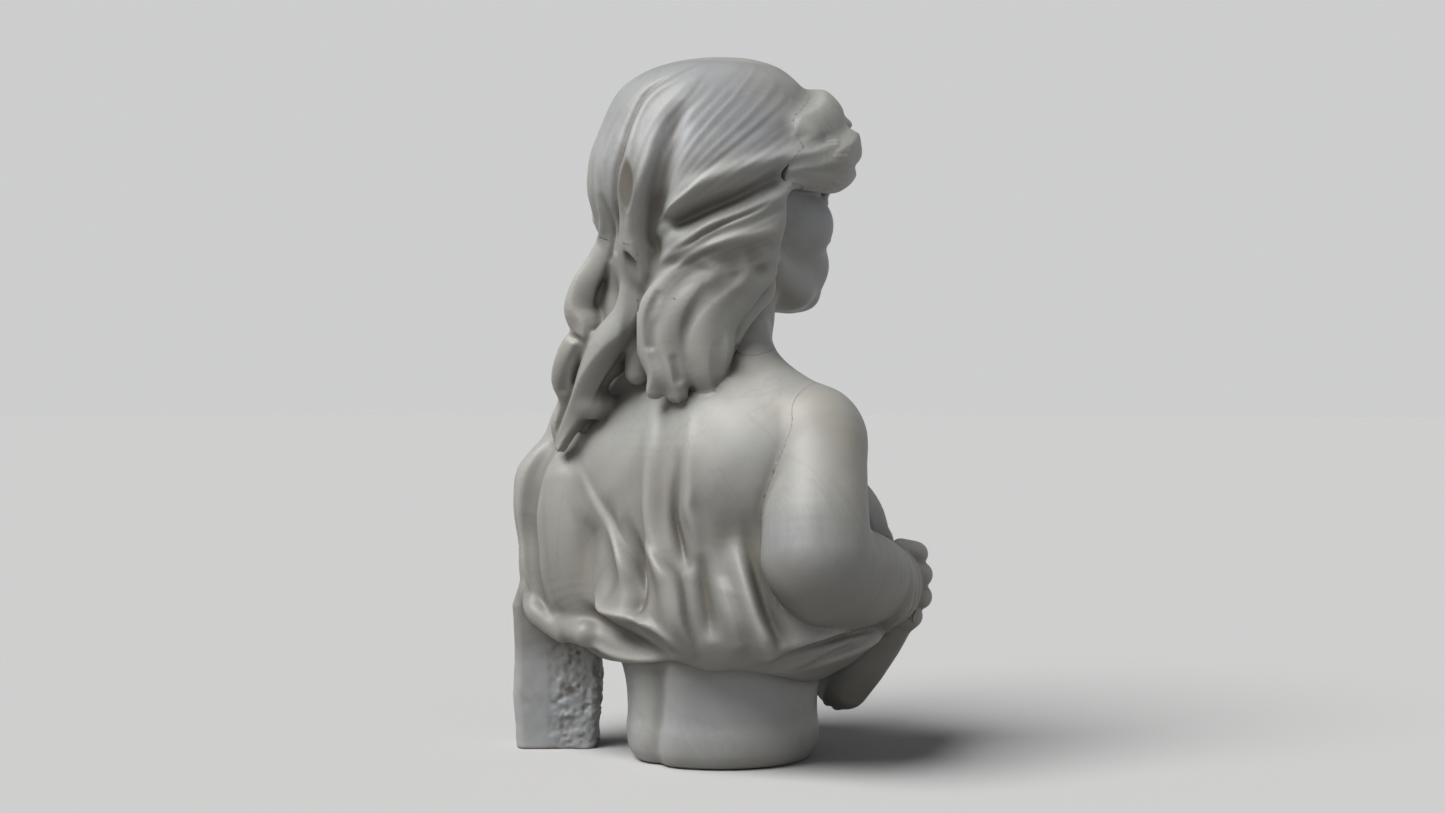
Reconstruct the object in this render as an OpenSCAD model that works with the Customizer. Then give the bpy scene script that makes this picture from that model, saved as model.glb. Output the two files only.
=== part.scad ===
// Marble bust of a draped woman, cut at the waist, built up from pieced
// marble that is held together by metal dowels set in drilled holes.
// +Z is up, the figure faces -Y, and the origin is the middle of the underside.

/* [Socle] */
// Radius of the flat underside of the waist socle
foot_r = 78; // [70:1:84]
// Height of the joint between the socle and the torso
socle_h = 112; // [108:1:114]
// Radius of the blind hole that takes a plinth pin
pin_hole_r = 8; // [5:0.5:12]
// Depth of the blind hole that takes a plinth pin
pin_hole_depth = 50; // [30:1:60]
// Depth of the spine groove in the back of the socle
spine_depth = 7; // [2:0.5:12]

/* [Figure] */
// Turn of the head towards the figure's right, in degrees
head_turn = 15; // [0:1:20]
// Depth of the soft folds in the drapery
fold_depth = 3.5; // [0:0.5:5]

/* [Strut] */
// Width of the side strut across its broad faces
strut_w = 86; // [70:1:90]
// Thickness of the side strut
strut_t = 54; // [40:1:60]

/* [Joints] */
// Radius of the large dowels in the socle, neck, arms and strut
dowel_r = 6; // [4:0.5:7]
// Radius of the small pins in the hair, hand and hanging fold
pin_r = 3; // [2:0.5:4]
// Play all round a dowel in its drilled hole, filled with lead
dowel_play = 0.4; // [0.2:0.1:0.8]

/* [Hidden] */

marble = [0.66, 0.65, 0.62];
bronze = [0.45, 0.34, 0.20];
round_fn = 96;
big = 800;

// Main points of the figure: centre, then radius
shoulder_r = [-126, 12, 306, 47];
elbow_r = [-157, 56, 197, 47];
wrist_r = [-127, -84, 168, 35];
fist_r = [-113, -126, 162, 38];
shoulder_l = [136, 32, 308, 51];
elbow_l = [163, 70, 205, 48];
wrist_l = [84, -98, 190, 38];
head_at = [0, -6, 0];
neck_root = [0, 14, 374, 52];

// The side strut's place and the turn of its broad faces
strut_at = [158, 63];
strut_turn = 42;
strut_top = 185;
strut_corner = 9;

// Draped trunk: one row per level, as height, centre x, centre y, half width, half depth
trunk_levels = [
    [84, 0, 0, 122, 97],
    [92, 0, 0, 139, 104],
    [106, 0, 0, 151, 110],
    [130, 0, 0, 158, 114],
    [160, 0, 0, 155, 113],
    [195, 0, 2, 146, 106],
    [235, 0, 6, 138, 99],
    [275, 0, 10, 134, 95],
    [310, 0, 14, 128, 87],
    [338, 0, 16, 108, 74],
    [360, 0, 16, 80, 62],
    [378, 0, 16, 60, 54]];
trunk_sides = 44;
trunk_step = 9.8;
folds_round = 13;
fold_lean = 0.35;
fold_fade_from = 150;
fold_fade_to = 300;

// ---- Helpers -------------------------------------------------------------

function mix(a, b, t) = a + (b - a) * t;
function column(rows, c) = [for (row = rows) [row[0], row[c]]];
function curve_point(a, b, c, d, t) =
    0.5 * (2 * b + (c - a) * t + (2 * a - 5 * b + 4 * c - d) * t * t
    + (3 * b - a - 3 * c + d) * t * t * t);

// A smooth curve through the points, with n steps between each pair
function smooth(p, n) = [
    for (i = [0 : len(p) - 2], j = [0 : n - 1])
        curve_point(p[max(i - 1, 0)], p[i], p[i + 1], p[min(i + 2, len(p) - 1)], j / n),
    p[len(p) - 1]];

// Sides of a ball by its radius, so that small forms stay light
function ball_sides(r) = r > 30 ? 16 : r > 14 ? 12 : 8;

module ball(p) {
    translate([p[0], p[1], p[2]]) sphere(r = p[3], $fn = ball_sides(p[3]));
}

// A rounded form that runs through the balls in turn
module chain(p) {
    for (i = [0 : len(p) - 2])
        hull() {
            ball(p[i]);
            ball(p[i + 1]);
        }
}

// One convex form round all the balls
module lump(p) {
    hull() for (q = p) ball(q);
}

module both_sides() {
    children();
    mirror([1, 0, 0]) children();
}

module half_space(at, dir) {
    translate(at) orient(dir) translate([0, 0, big / 2]) cube(big, center = true);
}

// Turns +Z to the given direction
module orient(dir) {
    rotate([0, acos(dir[2] / norm(dir)), atan2(dir[1], dir[0])]) children();
}

// A straight rod from one point towards another, centred on a joint
module rod(at, dir, length, r) {
    translate(at) orient(dir) cylinder(h = length, r = r, center = true, $fn = 32);
}

module in_head() {
    translate(head_at) rotate([0, 0, -head_turn]) children();
}

// ---- Forms: the figure's masses before they are cut into pieces ----------

function fold_strength(z) =
    fold_depth * min(1, max(0, (fold_fade_to - z) / (fold_fade_to - fold_fade_from)));

function trunk_point(z, a) =
    let (
        wave = fold_strength(z) * sin(folds_round * (a + fold_lean * z))
            + fold_strength(z) * 0.6 * sin(7 * a - fold_lean * 3 * z),
        cx = lookup(z, column(trunk_levels, 1)),
        cy = lookup(z, column(trunk_levels, 2)),
        rx = lookup(z, column(trunk_levels, 3)) + wave,
        ry = lookup(z, column(trunk_levels, 4)) + wave)
    [cx + rx * cos(a), cy + ry * sin(a), z];

module trunk_form() {
    low = trunk_levels[0][0];
    high = trunk_levels[len(trunk_levels) - 1][0];
    rings = [for (z = [low : trunk_step : high]) z];
    points = [for (z = rings, i = [0 : trunk_sides - 1]) trunk_point(z, i * 360 / trunk_sides)];
    last = len(rings) - 1;
    walls = [for (k = [0 : last - 1], i = [0 : trunk_sides - 1])
        let (j = (i + 1) % trunk_sides, lo = k * trunk_sides, hi = lo + trunk_sides)
        each [[lo + i, hi + i, lo + j], [lo + j, hi + i, hi + j]]];
    floor_face = [for (i = [0 : trunk_sides - 1]) i];
    roof_face = [for (i = [0 : trunk_sides - 1]) last * trunk_sides + trunk_sides - 1 - i];
    polyhedron(points = points, faces = concat(walls, [floor_face], [roof_face]));
}

module torso_form() {
    trunk_form();
    both_sides() lump([[58, -62, 236, 44], [52, -34, 290, 46], [100, 0, 290, 44]]);
    lump([[-112, 14, 304, 46], [0, 24, 318, 50], [112, 28, 304, 48]]);
    both_sides() lump([[52, 56, 280, 42], [96, 44, 270, 40], [30, 48, 230, 46]]);
    chain([[-128, 14, 302, 42], [-60, 16, 340, 34], [0, 20, 356, 40], [62, 20, 342, 34]]);
    neckline();
    hem_swag();
}

// The rolled upper edge of the drapery across the chest
module neckline() {
    chain(smooth([[-84, -30, 326, 9], [-52, -74, 300, 11], [0, -94, 280, 12],
        [52, -76, 302, 11], [88, -24, 332, 10]], 2));
}

// The heavy fold that crosses the back and dips to the right hip
module hem_swag() {
    chain(smooth([[126, 70, 205, 12], [96, 96, 160, 13], [60, 108, 134, 13], [10, 112, 112, 12],
        [-50, 104, 100, 11], [-112, 76, 98, 12]], 2));
}

module neck_form() {
    chain([neck_root, [0, 10, 400, 51], [-2, 4, 440, 51], [-2, 4, 490, 50]]);
}

module face_form() {
    lump([[0, 8, 566, 74], [0, -30, 572, 66], [0, 34, 548, 56]]);
    lump([[0, -34, 560, 62], [-34, -52, 506, 30], [34, -52, 506, 30], [0, -72, 446, 21],
        [-30, -36, 470, 26], [30, -36, 470, 26]]);
    lump([[0, -78, 440, 16], [0, -72, 448, 20], [0, -40, 452, 22]]);
    chain([[0, -90, 540, 8], [0, -103, 505, 8], [0, -106, 492, 10]]);
    both_sides() chain([[0, -98, 488, 8], [12, -90, 487, 7]]);
    both_sides() chain([[6, -92, 547, 6], [30, -86, 553, 7], [52, -68, 546, 7]]);
    both_sides() ball([31, -75, 530, 14]);
    chain([[-20, -86, 464, 5], [0, -94, 466, 7], [20, -86, 464, 5]]);
    chain([[-16, -86, 456, 5], [0, -92, 455, 7], [16, -86, 456, 5]]);
    both_sides() chain(smooth([[76, 2, 500, 5], [80, 12, 528, 7], [76, 0, 548, 7]], 2));
}

module head_form() {
    neck_form();
    in_head() face_form();
}

// The mass of combed hair over the skull and down to the nape
module hair_form() {
    in_head() difference() {
        union() {
            lump([[0, 32, 572, 88], [0, -20, 584, 76], [0, 48, 540, 84]]);
            both_sides() lump([[22, 20, 560, 72], [30, 34, 500, 52], [24, 56, 500, 56]]);
            lump([[0, 66, 500, 54], [-18, 66, 440, 42], [24, 66, 440, 44]]);
            both_sides() lump([[62, -18, 566, 36], [66, 14, 530, 34], [52, 40, 470, 40]]);
        }
        lump([[0, -108, 530, 36], [-30, -92, 500, 50], [30, -92, 500, 50], [0, -108, 420, 60]]);
    }
}

// The two puffed rolls that frame the brow and meet at the parting
module roll_form() {
    in_head() {
        chain(smooth([[-82, -22, 546, 20], [-76, -62, 562, 26], [-44, -96, 590, 27],
            [-2, -100, 612, 20]], 3));
        chain(smooth([[82, -22, 546, 20], [76, -62, 562, 26], [44, -96, 590, 27],
            [2, -100, 612, 20]], 3));
    }
}

module left_tress_form() {
    chain(smooth([[20, 94, 460, 34], [38, 98, 428, 36], [46, 98, 396, 38], [64, 94, 366, 37],
        [74, 92, 338, 32], [90, 94, 312, 24], [90, 96, 292, 12]], 2));
}

module outer_tress_form() {
    chain(smooth([[66, 62, 470, 28], [80, 62, 432, 27], [84, 58, 400, 25], [78, 56, 370, 20]], 2));
}

module nape_tress_form() {
    chain(smooth([[-28, 76, 456, 38], [-32, 78, 424, 42], [-22, 80, 396, 44],
        [-20, 82, 364, 40]], 2));
    chain(smooth([[-52, 58, 440, 32], [-54, 62, 408, 34], [-48, 64, 374, 36]], 2));
}

module right_upper_arm_form() {
    chain(smooth([shoulder_r, [-140, 32, 262, 44], [-152, 52, 222, 46], elbow_r], 2));
}

module right_forearm_form() {
    chain(smooth([elbow_r, [-158, 20, 186, 44], [-146, -30, 176, 40], wrist_r], 2));
    chain([[-129, -78, 168, 38], [-126, -90, 167, 38]]);
}

module fist_form() {
    lump([fist_r, [-100, -116, 158, 34], [-120, -112, 166, 32]]);
    for (k = [0 : 3]) {
        finger_z = 190 - 19 * k;
        chain([[-128, -134, finger_z, 11], [-106, -160, finger_z - 2, 11],
            [-82, -152, finger_z - 3, 10]]);
    }
    chain([[-104, -120, 194, 12], [-84, -140, 198, 11], [-72, -150, 186, 10]]);
}

module fall_form() {
    chain(smooth([[-96, -124, 130, 34], [-68, -130, 96, 33], [-48, -130, 70, 30],
        [-38, -128, 56, 27]], 3));
}

module left_sleeve_form() {
    chain(smooth([shoulder_l, [156, 56, 268, 50], [168, 70, 238, 47], elbow_l,
        [152, 80, 168, 42], [134, 82, 140, 34]], 3));
    chain([[120, 20, 330, 26], [96, 40, 326, 30], [124, 60, 300, 34]]);
}

module left_forearm_form() {
    chain(smooth([[160, 44, 204, 38], [158, 12, 198, 44], [132, -48, 190, 43], wrist_l], 2));
    chain(smooth([[88, -96, 188, 39], [66, -118, 184, 36], [50, -126, 170, 30]], 2));
}

module strut_form() {
    translate([strut_at[0], strut_at[1], 0]) rotate([0, 0, strut_turn])
        linear_extrude(strut_top) offset(r = strut_corner, $fn = 32)
            square([strut_w - 2 * strut_corner, strut_t - 2 * strut_corner], center = true);
}

// ---- Joint surfaces ------------------------------------------------------

shoulder_plane_r = -112;
shoulder_plane_l = 104;
elbow_plane_r_at = [-157, 20, 200];
elbow_plane_r_dir = [0.05, -0.75, -0.66];
wrist_plane_r_at = [-122, -100, 166];
wrist_plane_r_dir = [0.3, -1, 0];
elbow_plane_l_at = [159, 34, 200];
elbow_plane_l_dir = [-0.2, -0.9, -0.3];

module beyond_elbow_r() {
    half_space(elbow_plane_r_at, elbow_plane_r_dir);
}

module beyond_wrist_r() {
    half_space(wrist_plane_r_at, wrist_plane_r_dir);
}

module right_arm_block() {
    intersection() {
        union() {
            right_upper_arm_form();
            right_forearm_form();
        }
        half_space([shoulder_plane_r, 0, 0], [-1, 0, 0]);
    }
    intersection() {
        right_forearm_form();
        beyond_elbow_r();
    }
}

module fist_block() {
    intersection() {
        union() {
            fist_form();
            right_forearm_form();
        }
        beyond_wrist_r();
    }
}

module left_forearm_block() {
    intersection() {
        left_forearm_form();
        half_space(elbow_plane_l_at, elbow_plane_l_dir);
    }
}

module left_sleeve_block() {
    intersection() {
        left_sleeve_form();
        half_space([shoulder_plane_l, 0, 0], [1, 0, 0]);
    }
}

// ---- Dowels and their holes ----------------------------------------------

socle_dowel_at = [[-46, 8, 112], [46, 8, 112]];
up = [0, 0, 1];
neck_dowel_at = [0, 12, 336];
shoulder_dowel_r_at = [shoulder_plane_r, 24, 290];
shoulder_dowel_l_at = [shoulder_plane_l, 34, 292];
strut_dowel_at = [[150, 48, 160], [166, 72, 160]];

module socle_dowel_set(play) {
    for (p = socle_dowel_at) rod(p, up, 110, dowel_r + play);
}

module neck_dowel_rod(play) {
    rod(neck_dowel_at, up, 130, dowel_r + play);
}

module hair_pin_set(play) {
    rod([16, 78, 556], [0.25, 1, 0.1], 36, pin_r + play);
    rod([38, 22, 622], [0.3, 0.2, 1], 30, pin_r + play);
    rod([-30, 22, 626], [-0.3, 0.2, 1], 30, pin_r + play);
}

module tress_pin_set(play) {
    rod([70, 74, 330], [0, 1, 0], 44, pin_r + play);
    rod([-22, 76, 362], [0, 1, 0], 36, pin_r + play);
    rod([72, 60, 434], [1, 0, 0], 30, pin_r + play);
}

module shoulder_dowel_rod_r(play) {
    rod(shoulder_dowel_r_at, [1, 0, 0], 70, dowel_r + play);
}

module shoulder_dowel_rod_l(play) {
    rod(shoulder_dowel_l_at, [1, 0, 0], 70, dowel_r + play);
}

module elbow_dowel_rod_r(play) {
    rod(elbow_plane_r_at, elbow_plane_r_dir, 60, dowel_r + play);
}

module elbow_dowel_rod_l(play) {
    rod(elbow_plane_l_at, elbow_plane_l_dir, 60, dowel_r + play);
}

module wrist_dowel_rod_r(play) {
    rod(wrist_plane_r_at, wrist_plane_r_dir, 50, dowel_r + play);
}

module fall_dowel_rod(play) {
    rod([-70, -106, 104], [0.1, -1, 0], 44, pin_r + play);
}

module strut_dowel_set(play) {
    for (p = strut_dowel_at) rod(p, up, 80, dowel_r + play);
}

// ---- Marble pieces -------------------------------------------------------

socle_profile = [[0, 0], [foot_r, 0], [foot_r + 5, 2], [foot_r + 9, 7], [foot_r + 12, 15],
    [foot_r + 13, 26], [foot_r + 12, 44], [foot_r + 13, 66], [foot_r + 17, 86],
    [foot_r + 24, 102], [foot_r + 27, socle_h], [0, socle_h]];
groove_r = 14;
groove_lean = 1;

module waist_socle() {
    groove_y = foot_r + 12.5 + groove_r - spine_depth;
    color(marble) difference() {
        rotate_extrude($fn = round_fn) polygon(socle_profile);
        translate([0, groove_y, -1]) rotate([0, groove_lean, 0])
            cylinder(h = socle_h + 2, r1 = groove_r, r2 = groove_r + 9, $fn = 48);
        translate([0, 0, -1]) cylinder(h = pin_hole_depth + 1, r = pin_hole_r, $fn = round_fn);
        socle_dowel_set(dowel_play);
    }
}

module torso() {
    color(marble) difference() {
        torso_form();
        translate([0, 0, -1]) cylinder(h = 1 + socle_h, r = foot_r + 28, $fn = round_fn);
        right_arm_block();
        fist_block();
        left_sleeve_block();
        left_forearm_block();
        neck_form();
        strut_form();
        socle_dowel_set(dowel_play);
        neck_dowel_rod(dowel_play);
        shoulder_dowel_rod_r(dowel_play);
        shoulder_dowel_rod_l(dowel_play);
        tress_pin_set(dowel_play);
        fall_dowel_rod(dowel_play);
        strut_dowel_set(dowel_play);
    }
}

module head() {
    color(marble) difference() {
        head_form();
        neck_dowel_rod(dowel_play);
        hair_pin_set(dowel_play);
        tress_pin_set(dowel_play);
    }
}

module hair_cap() {
    color(marble) difference() {
        hair_form();
        head_form();
        hair_pin_set(dowel_play);
        tress_pin_set(dowel_play);
    }
}

module front_roll() {
    color(marble) difference() {
        roll_form();
        head_form();
        hair_form();
    }
}

module left_tress() {
    color(marble) difference() {
        left_tress_form();
        hair_form();
        head_form();
        torso_form();
        left_sleeve_block();
        tress_pin_set(dowel_play);
    }
}

module outer_tress() {
    color(marble) difference() {
        outer_tress_form();
        left_tress_form();
        hair_form();
        head_form();
        torso_form();
        left_sleeve_block();
        tress_pin_set(dowel_play);
    }
}

module nape_tress() {
    color(marble) difference() {
        nape_tress_form();
        left_tress_form();
        hair_form();
        head_form();
        torso_form();
        tress_pin_set(dowel_play);
    }
}

module right_upper_arm() {
    color(marble) difference() {
        right_arm_block();
        beyond_elbow_r();
        shoulder_dowel_rod_r(dowel_play);
        elbow_dowel_rod_r(dowel_play);
    }
}

module right_forearm() {
    color(marble) difference() {
        intersection() {
            right_arm_block();
            beyond_elbow_r();
        }
        beyond_wrist_r();
        elbow_dowel_rod_r(dowel_play);
        wrist_dowel_rod_r(dowel_play);
    }
}

module right_hand() {
    color(marble) difference() {
        fist_block();
        wrist_dowel_rod_r(dowel_play);
    }
}

module drapery_fall() {
    color(marble) difference() {
        fall_form();
        torso_form();
        fist_block();
        right_arm_block();
        fall_dowel_rod(dowel_play);
    }
}

module left_sleeve() {
    color(marble) difference() {
        left_sleeve_block();
        left_forearm_block();
        shoulder_dowel_rod_l(dowel_play);
        elbow_dowel_rod_l(dowel_play);
        strut_dowel_set(dowel_play);
        strut_form();
    }
}

module left_forearm() {
    color(marble) difference() {
        left_forearm_block();
        elbow_dowel_rod_l(dowel_play);
        strut_form();
    }
}

module side_strut() {
    color(marble) difference() {
        strut_form();
        strut_dowel_set(dowel_play);
    }
}

// ---- Metal pieces --------------------------------------------------------

module socle_dowels() {
    color(bronze) socle_dowel_set(0);
}

module neck_dowel() {
    color(bronze) neck_dowel_rod(0);
}

module hair_pins() {
    color(bronze) hair_pin_set(0);
}

module tress_pins() {
    color(bronze) tress_pin_set(0);
}

module right_shoulder_dowel() {
    color(bronze) shoulder_dowel_rod_r(0);
}

module right_elbow_dowel() {
    color(bronze) elbow_dowel_rod_r(0);
}

module right_wrist_dowel() {
    color(bronze) wrist_dowel_rod_r(0);
}

module fall_dowel() {
    color(bronze) fall_dowel_rod(0);
}

module left_shoulder_dowel() {
    color(bronze) shoulder_dowel_rod_l(0);
}

module left_elbow_dowel() {
    color(bronze) elbow_dowel_rod_l(0);
}

module strut_dowels() {
    color(bronze) strut_dowel_set(0);
}

waist_socle();
torso();
head();
hair_cap();
front_roll();
left_tress();
outer_tress();
nape_tress();
right_upper_arm();
right_forearm();
right_hand();
drapery_fall();
left_sleeve();
left_forearm();
side_strut();
socle_dowels();
neck_dowel();
hair_pins();
tress_pins();
right_shoulder_dowel();
right_elbow_dowel();
right_wrist_dowel();
fall_dowel();
left_shoulder_dowel();
left_elbow_dowel();
strut_dowels();
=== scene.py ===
"""Marble bust of a draped woman: every carved block is modelled here as a smooth
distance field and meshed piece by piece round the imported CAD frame.

Lengths inside the carving code are millimetres in the frame's own axes: +Z up,
the figure faces -Y, and its right hand is on the -X side.
"""
import math

import bpy
import numpy as np
import openvdb
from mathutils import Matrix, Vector


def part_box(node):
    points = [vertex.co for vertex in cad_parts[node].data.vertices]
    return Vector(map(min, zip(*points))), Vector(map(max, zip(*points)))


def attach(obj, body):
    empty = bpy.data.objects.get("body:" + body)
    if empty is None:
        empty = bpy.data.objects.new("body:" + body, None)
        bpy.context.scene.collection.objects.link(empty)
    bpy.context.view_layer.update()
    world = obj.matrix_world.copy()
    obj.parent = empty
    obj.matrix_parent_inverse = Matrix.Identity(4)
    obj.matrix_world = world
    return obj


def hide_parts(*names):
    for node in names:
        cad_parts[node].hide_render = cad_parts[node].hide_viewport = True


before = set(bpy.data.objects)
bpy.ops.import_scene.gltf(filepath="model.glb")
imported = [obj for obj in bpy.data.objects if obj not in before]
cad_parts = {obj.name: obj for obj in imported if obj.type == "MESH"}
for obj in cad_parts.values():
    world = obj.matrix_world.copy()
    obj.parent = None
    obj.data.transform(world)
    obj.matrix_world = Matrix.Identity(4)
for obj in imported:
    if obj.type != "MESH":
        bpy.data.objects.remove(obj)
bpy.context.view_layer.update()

MM = 0.001
FAR = 40.0                # distance fields are cut off here
MARGIN = 6.0              # how far past its blend a form still changes a field

# ---- Camera ---------------------------------------------------------------

VIEW_TURN = 42.0          # degrees from straight behind, towards the figure's right
VIEW_DISTANCE = 1.9
VIEW_HEIGHT = 0.330
LENS = 50.0
SENSOR = 36.0


def add_camera():
    """The photograph's view: level, from behind and to the figure's right."""
    turn = math.radians(VIEW_TURN)
    towards = Vector((-math.sin(turn), math.cos(turn), 0.0))
    camera_data = bpy.data.cameras.new("photo_view")
    camera_data.lens = LENS
    camera_data.sensor_width = SENSOR
    camera = bpy.data.objects.new("photo_view", camera_data)
    bpy.context.scene.collection.objects.link(camera)
    camera.location = towards * VIEW_DISTANCE + Vector((0.0, 0.0, VIEW_HEIGHT))
    camera.rotation_euler = (-towards).to_track_quat("-Z", "Y").to_euler()
    bpy.context.scene.camera = camera


add_camera()

# ---- Distance fields ------------------------------------------------------


class Block:
    """A box of sample points, and the distance arrays worked out on it."""

    def __init__(self, low, high, step):
        self.low = np.array(low, dtype=float)
        self.step = step
        self.shape = tuple(int(math.ceil((h - l) / step)) + 1 for l, h in zip(low, high))

    def axis(self, i, start, stop):
        return (self.low[i] + self.step * np.arange(start, stop)).astype(np.float32)

    def window(self, low, high):
        """The index range that covers a box, or None where it misses the block."""
        first = np.floor((np.asarray(low) - self.low) / self.step).astype(int)
        last = np.ceil((np.asarray(high) - self.low) / self.step).astype(int) + 1
        first = np.maximum(first, 0)
        last = np.minimum(last, self.shape)
        if np.any(last <= first):
            return None
        return tuple(slice(int(a), int(b)) for a, b in zip(first, last))

    def points(self, window):
        """Open arrays of x, y and z inside a window."""
        x, y, z = (self.axis(i, w.start, w.stop) for i, w in enumerate(window))
        return x[:, None, None], y[None, :, None], z[None, None, :]

    def whole(self):
        return tuple(slice(0, n) for n in self.shape)


def smooth_min(a, b, k):
    overlap = np.maximum(k - np.abs(a - b), 0.0) / k
    return np.minimum(a, b) - overlap * overlap * (k * 0.25)


def smooth_cut(a, b, k):
    """Takes the form b out of the form a."""
    return -smooth_min(-a, b, k)


def merge(form, field, window, distance):
    """Adds a form's own distances to a field, or takes the form out of it."""
    join = smooth_cut if form.cut else smooth_min
    field[window] = join(field[window], distance, form.blend)


def curve(points, steps=5):
    """A smooth curve through rows of numbers, such as x, y, z and radius."""
    p = np.array(points, dtype=float)
    if len(p) < 3:
        return p
    p = np.vstack([2 * p[0] - p[1], p, 2 * p[-1] - p[-2]])
    rows = []
    for a, b, c, d in zip(p, p[1:], p[2:], p[3:]):
        for i in range(steps):
            t = i / steps
            rows.append(0.5 * (2 * b + (c - a) * t + (2 * a - 5 * b + 4 * c - d) * t * t
                               + (3 * b - a - 3 * c + d) * t ** 3))
    rows.append(p[-2])
    return np.array(rows)


class Stroke:
    """A rounded form along a curve, which is added to a mass or cut from it.

    strands is (number, depth, twist): parallel grooves along the stroke, as in a
    lock of hair, whose pattern turns by twist degrees per millimetre.
    """

    def __init__(self, points, blend, cut=False, strands=None):
        self.path = curve(points)
        self.blend = blend
        self.cut = cut
        self.strands = strands

    def apply(self, block, field):
        path = self.path
        widest = path[:, 3].max() + self.blend + MARGIN
        window = block.window(path[:, :3].min(0) - widest, path[:, :3].max(0) + widest)
        if window is None:
            return
        shape = tuple(w.stop - w.start for w in window)
        distance = np.full(shape, FAR, dtype=np.float32)
        run = 0.0
        for a, b in zip(path, path[1:]):
            self.segment(block, window, distance, a, b, run)
            run += float(np.linalg.norm(b[:3] - a[:3]))
        merge(self, field, window, distance)

    def segment(self, block, window, distance, a, b, run):
        reach = max(a[3], b[3]) + self.blend + MARGIN
        part = block.window(np.minimum(a[:3], b[:3]) - reach, np.maximum(a[:3], b[:3]) + reach)
        if part is None:
            return
        x, y, z = block.points(part)
        along = b[:3] - a[:3]
        length2 = max(float(along @ along), 1e-6)
        dx, dy, dz = x - a[0], y - a[1], z - a[2]
        t = np.clip((dx * along[0] + dy * along[1] + dz * along[2]) / length2, 0.0, 1.0)
        rx, ry, rz = dx - t * along[0], dy - t * along[1], dz - t * along[2]
        d = np.sqrt(rx * rx + ry * ry + rz * rz) - (a[3] + t * (b[3] - a[3]))
        if self.strands:
            number, depth, twist = self.strands
            axis = along / math.sqrt(length2)
            side = np.cross(axis, (0.0, 1.0, 0.05))
            side /= np.linalg.norm(side)
            other = np.cross(axis, side)
            turn = np.arctan2(rx * side[0] + ry * side[1] + rz * side[2],
                              rx * other[0] + ry * other[1] + rz * other[2])
            here = run + t * math.sqrt(length2)
            d = d + depth * np.abs(np.sin(0.5 * number * turn + math.radians(twist) * here))
        local = tuple(slice(p.start - w.start, p.stop - w.start) for p, w in zip(part, window))
        distance[local] = np.minimum(distance[local], d)


class Egg:
    """An ellipsoid, turned about +Z, which is added to a mass or cut from it."""

    def __init__(self, centre, radii, blend, cut=False, turn=0.0):
        self.centre = centre
        self.radii = radii
        self.blend = blend
        self.cut = cut
        self.turn = math.radians(turn)

    def apply(self, block, field):
        reach = max(self.radii) + self.blend + MARGIN
        centre = np.array(self.centre)
        window = block.window(centre - reach, centre + reach)
        if window is None:
            return
        x, y, z = block.points(window)
        dx, dy, dz = x - centre[0], y - centre[1], z - centre[2]
        c, s = math.cos(self.turn), math.sin(self.turn)
        px, py = c * dx + s * dy, c * dy - s * dx
        rx, ry, rz = self.radii
        k0 = np.sqrt((px / rx) ** 2 + (py / ry) ** 2 + (dz / rz) ** 2)
        k1 = np.sqrt((px / rx ** 2) ** 2 + (py / ry ** 2) ** 2 + (dz / rz ** 2) ** 2)
        distance = np.where(k1 > 1e-6, k0 * (k0 - 1.0) / np.maximum(k1, 1e-6), -min(self.radii))
        merge(self, field, window, distance)


def carve(block, strokes):
    field = np.full(block.shape, FAR, dtype=np.float32)
    for stroke in strokes:
        stroke.apply(block, field)
    return field


# ---- Lofted masses and the relief on them ---------------------------------

MAP_STEP = 0.75           # degrees between the columns of a relief map
LOFT_ROUNDING = 6.0       # how softly a loft's side turns into its ends


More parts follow.
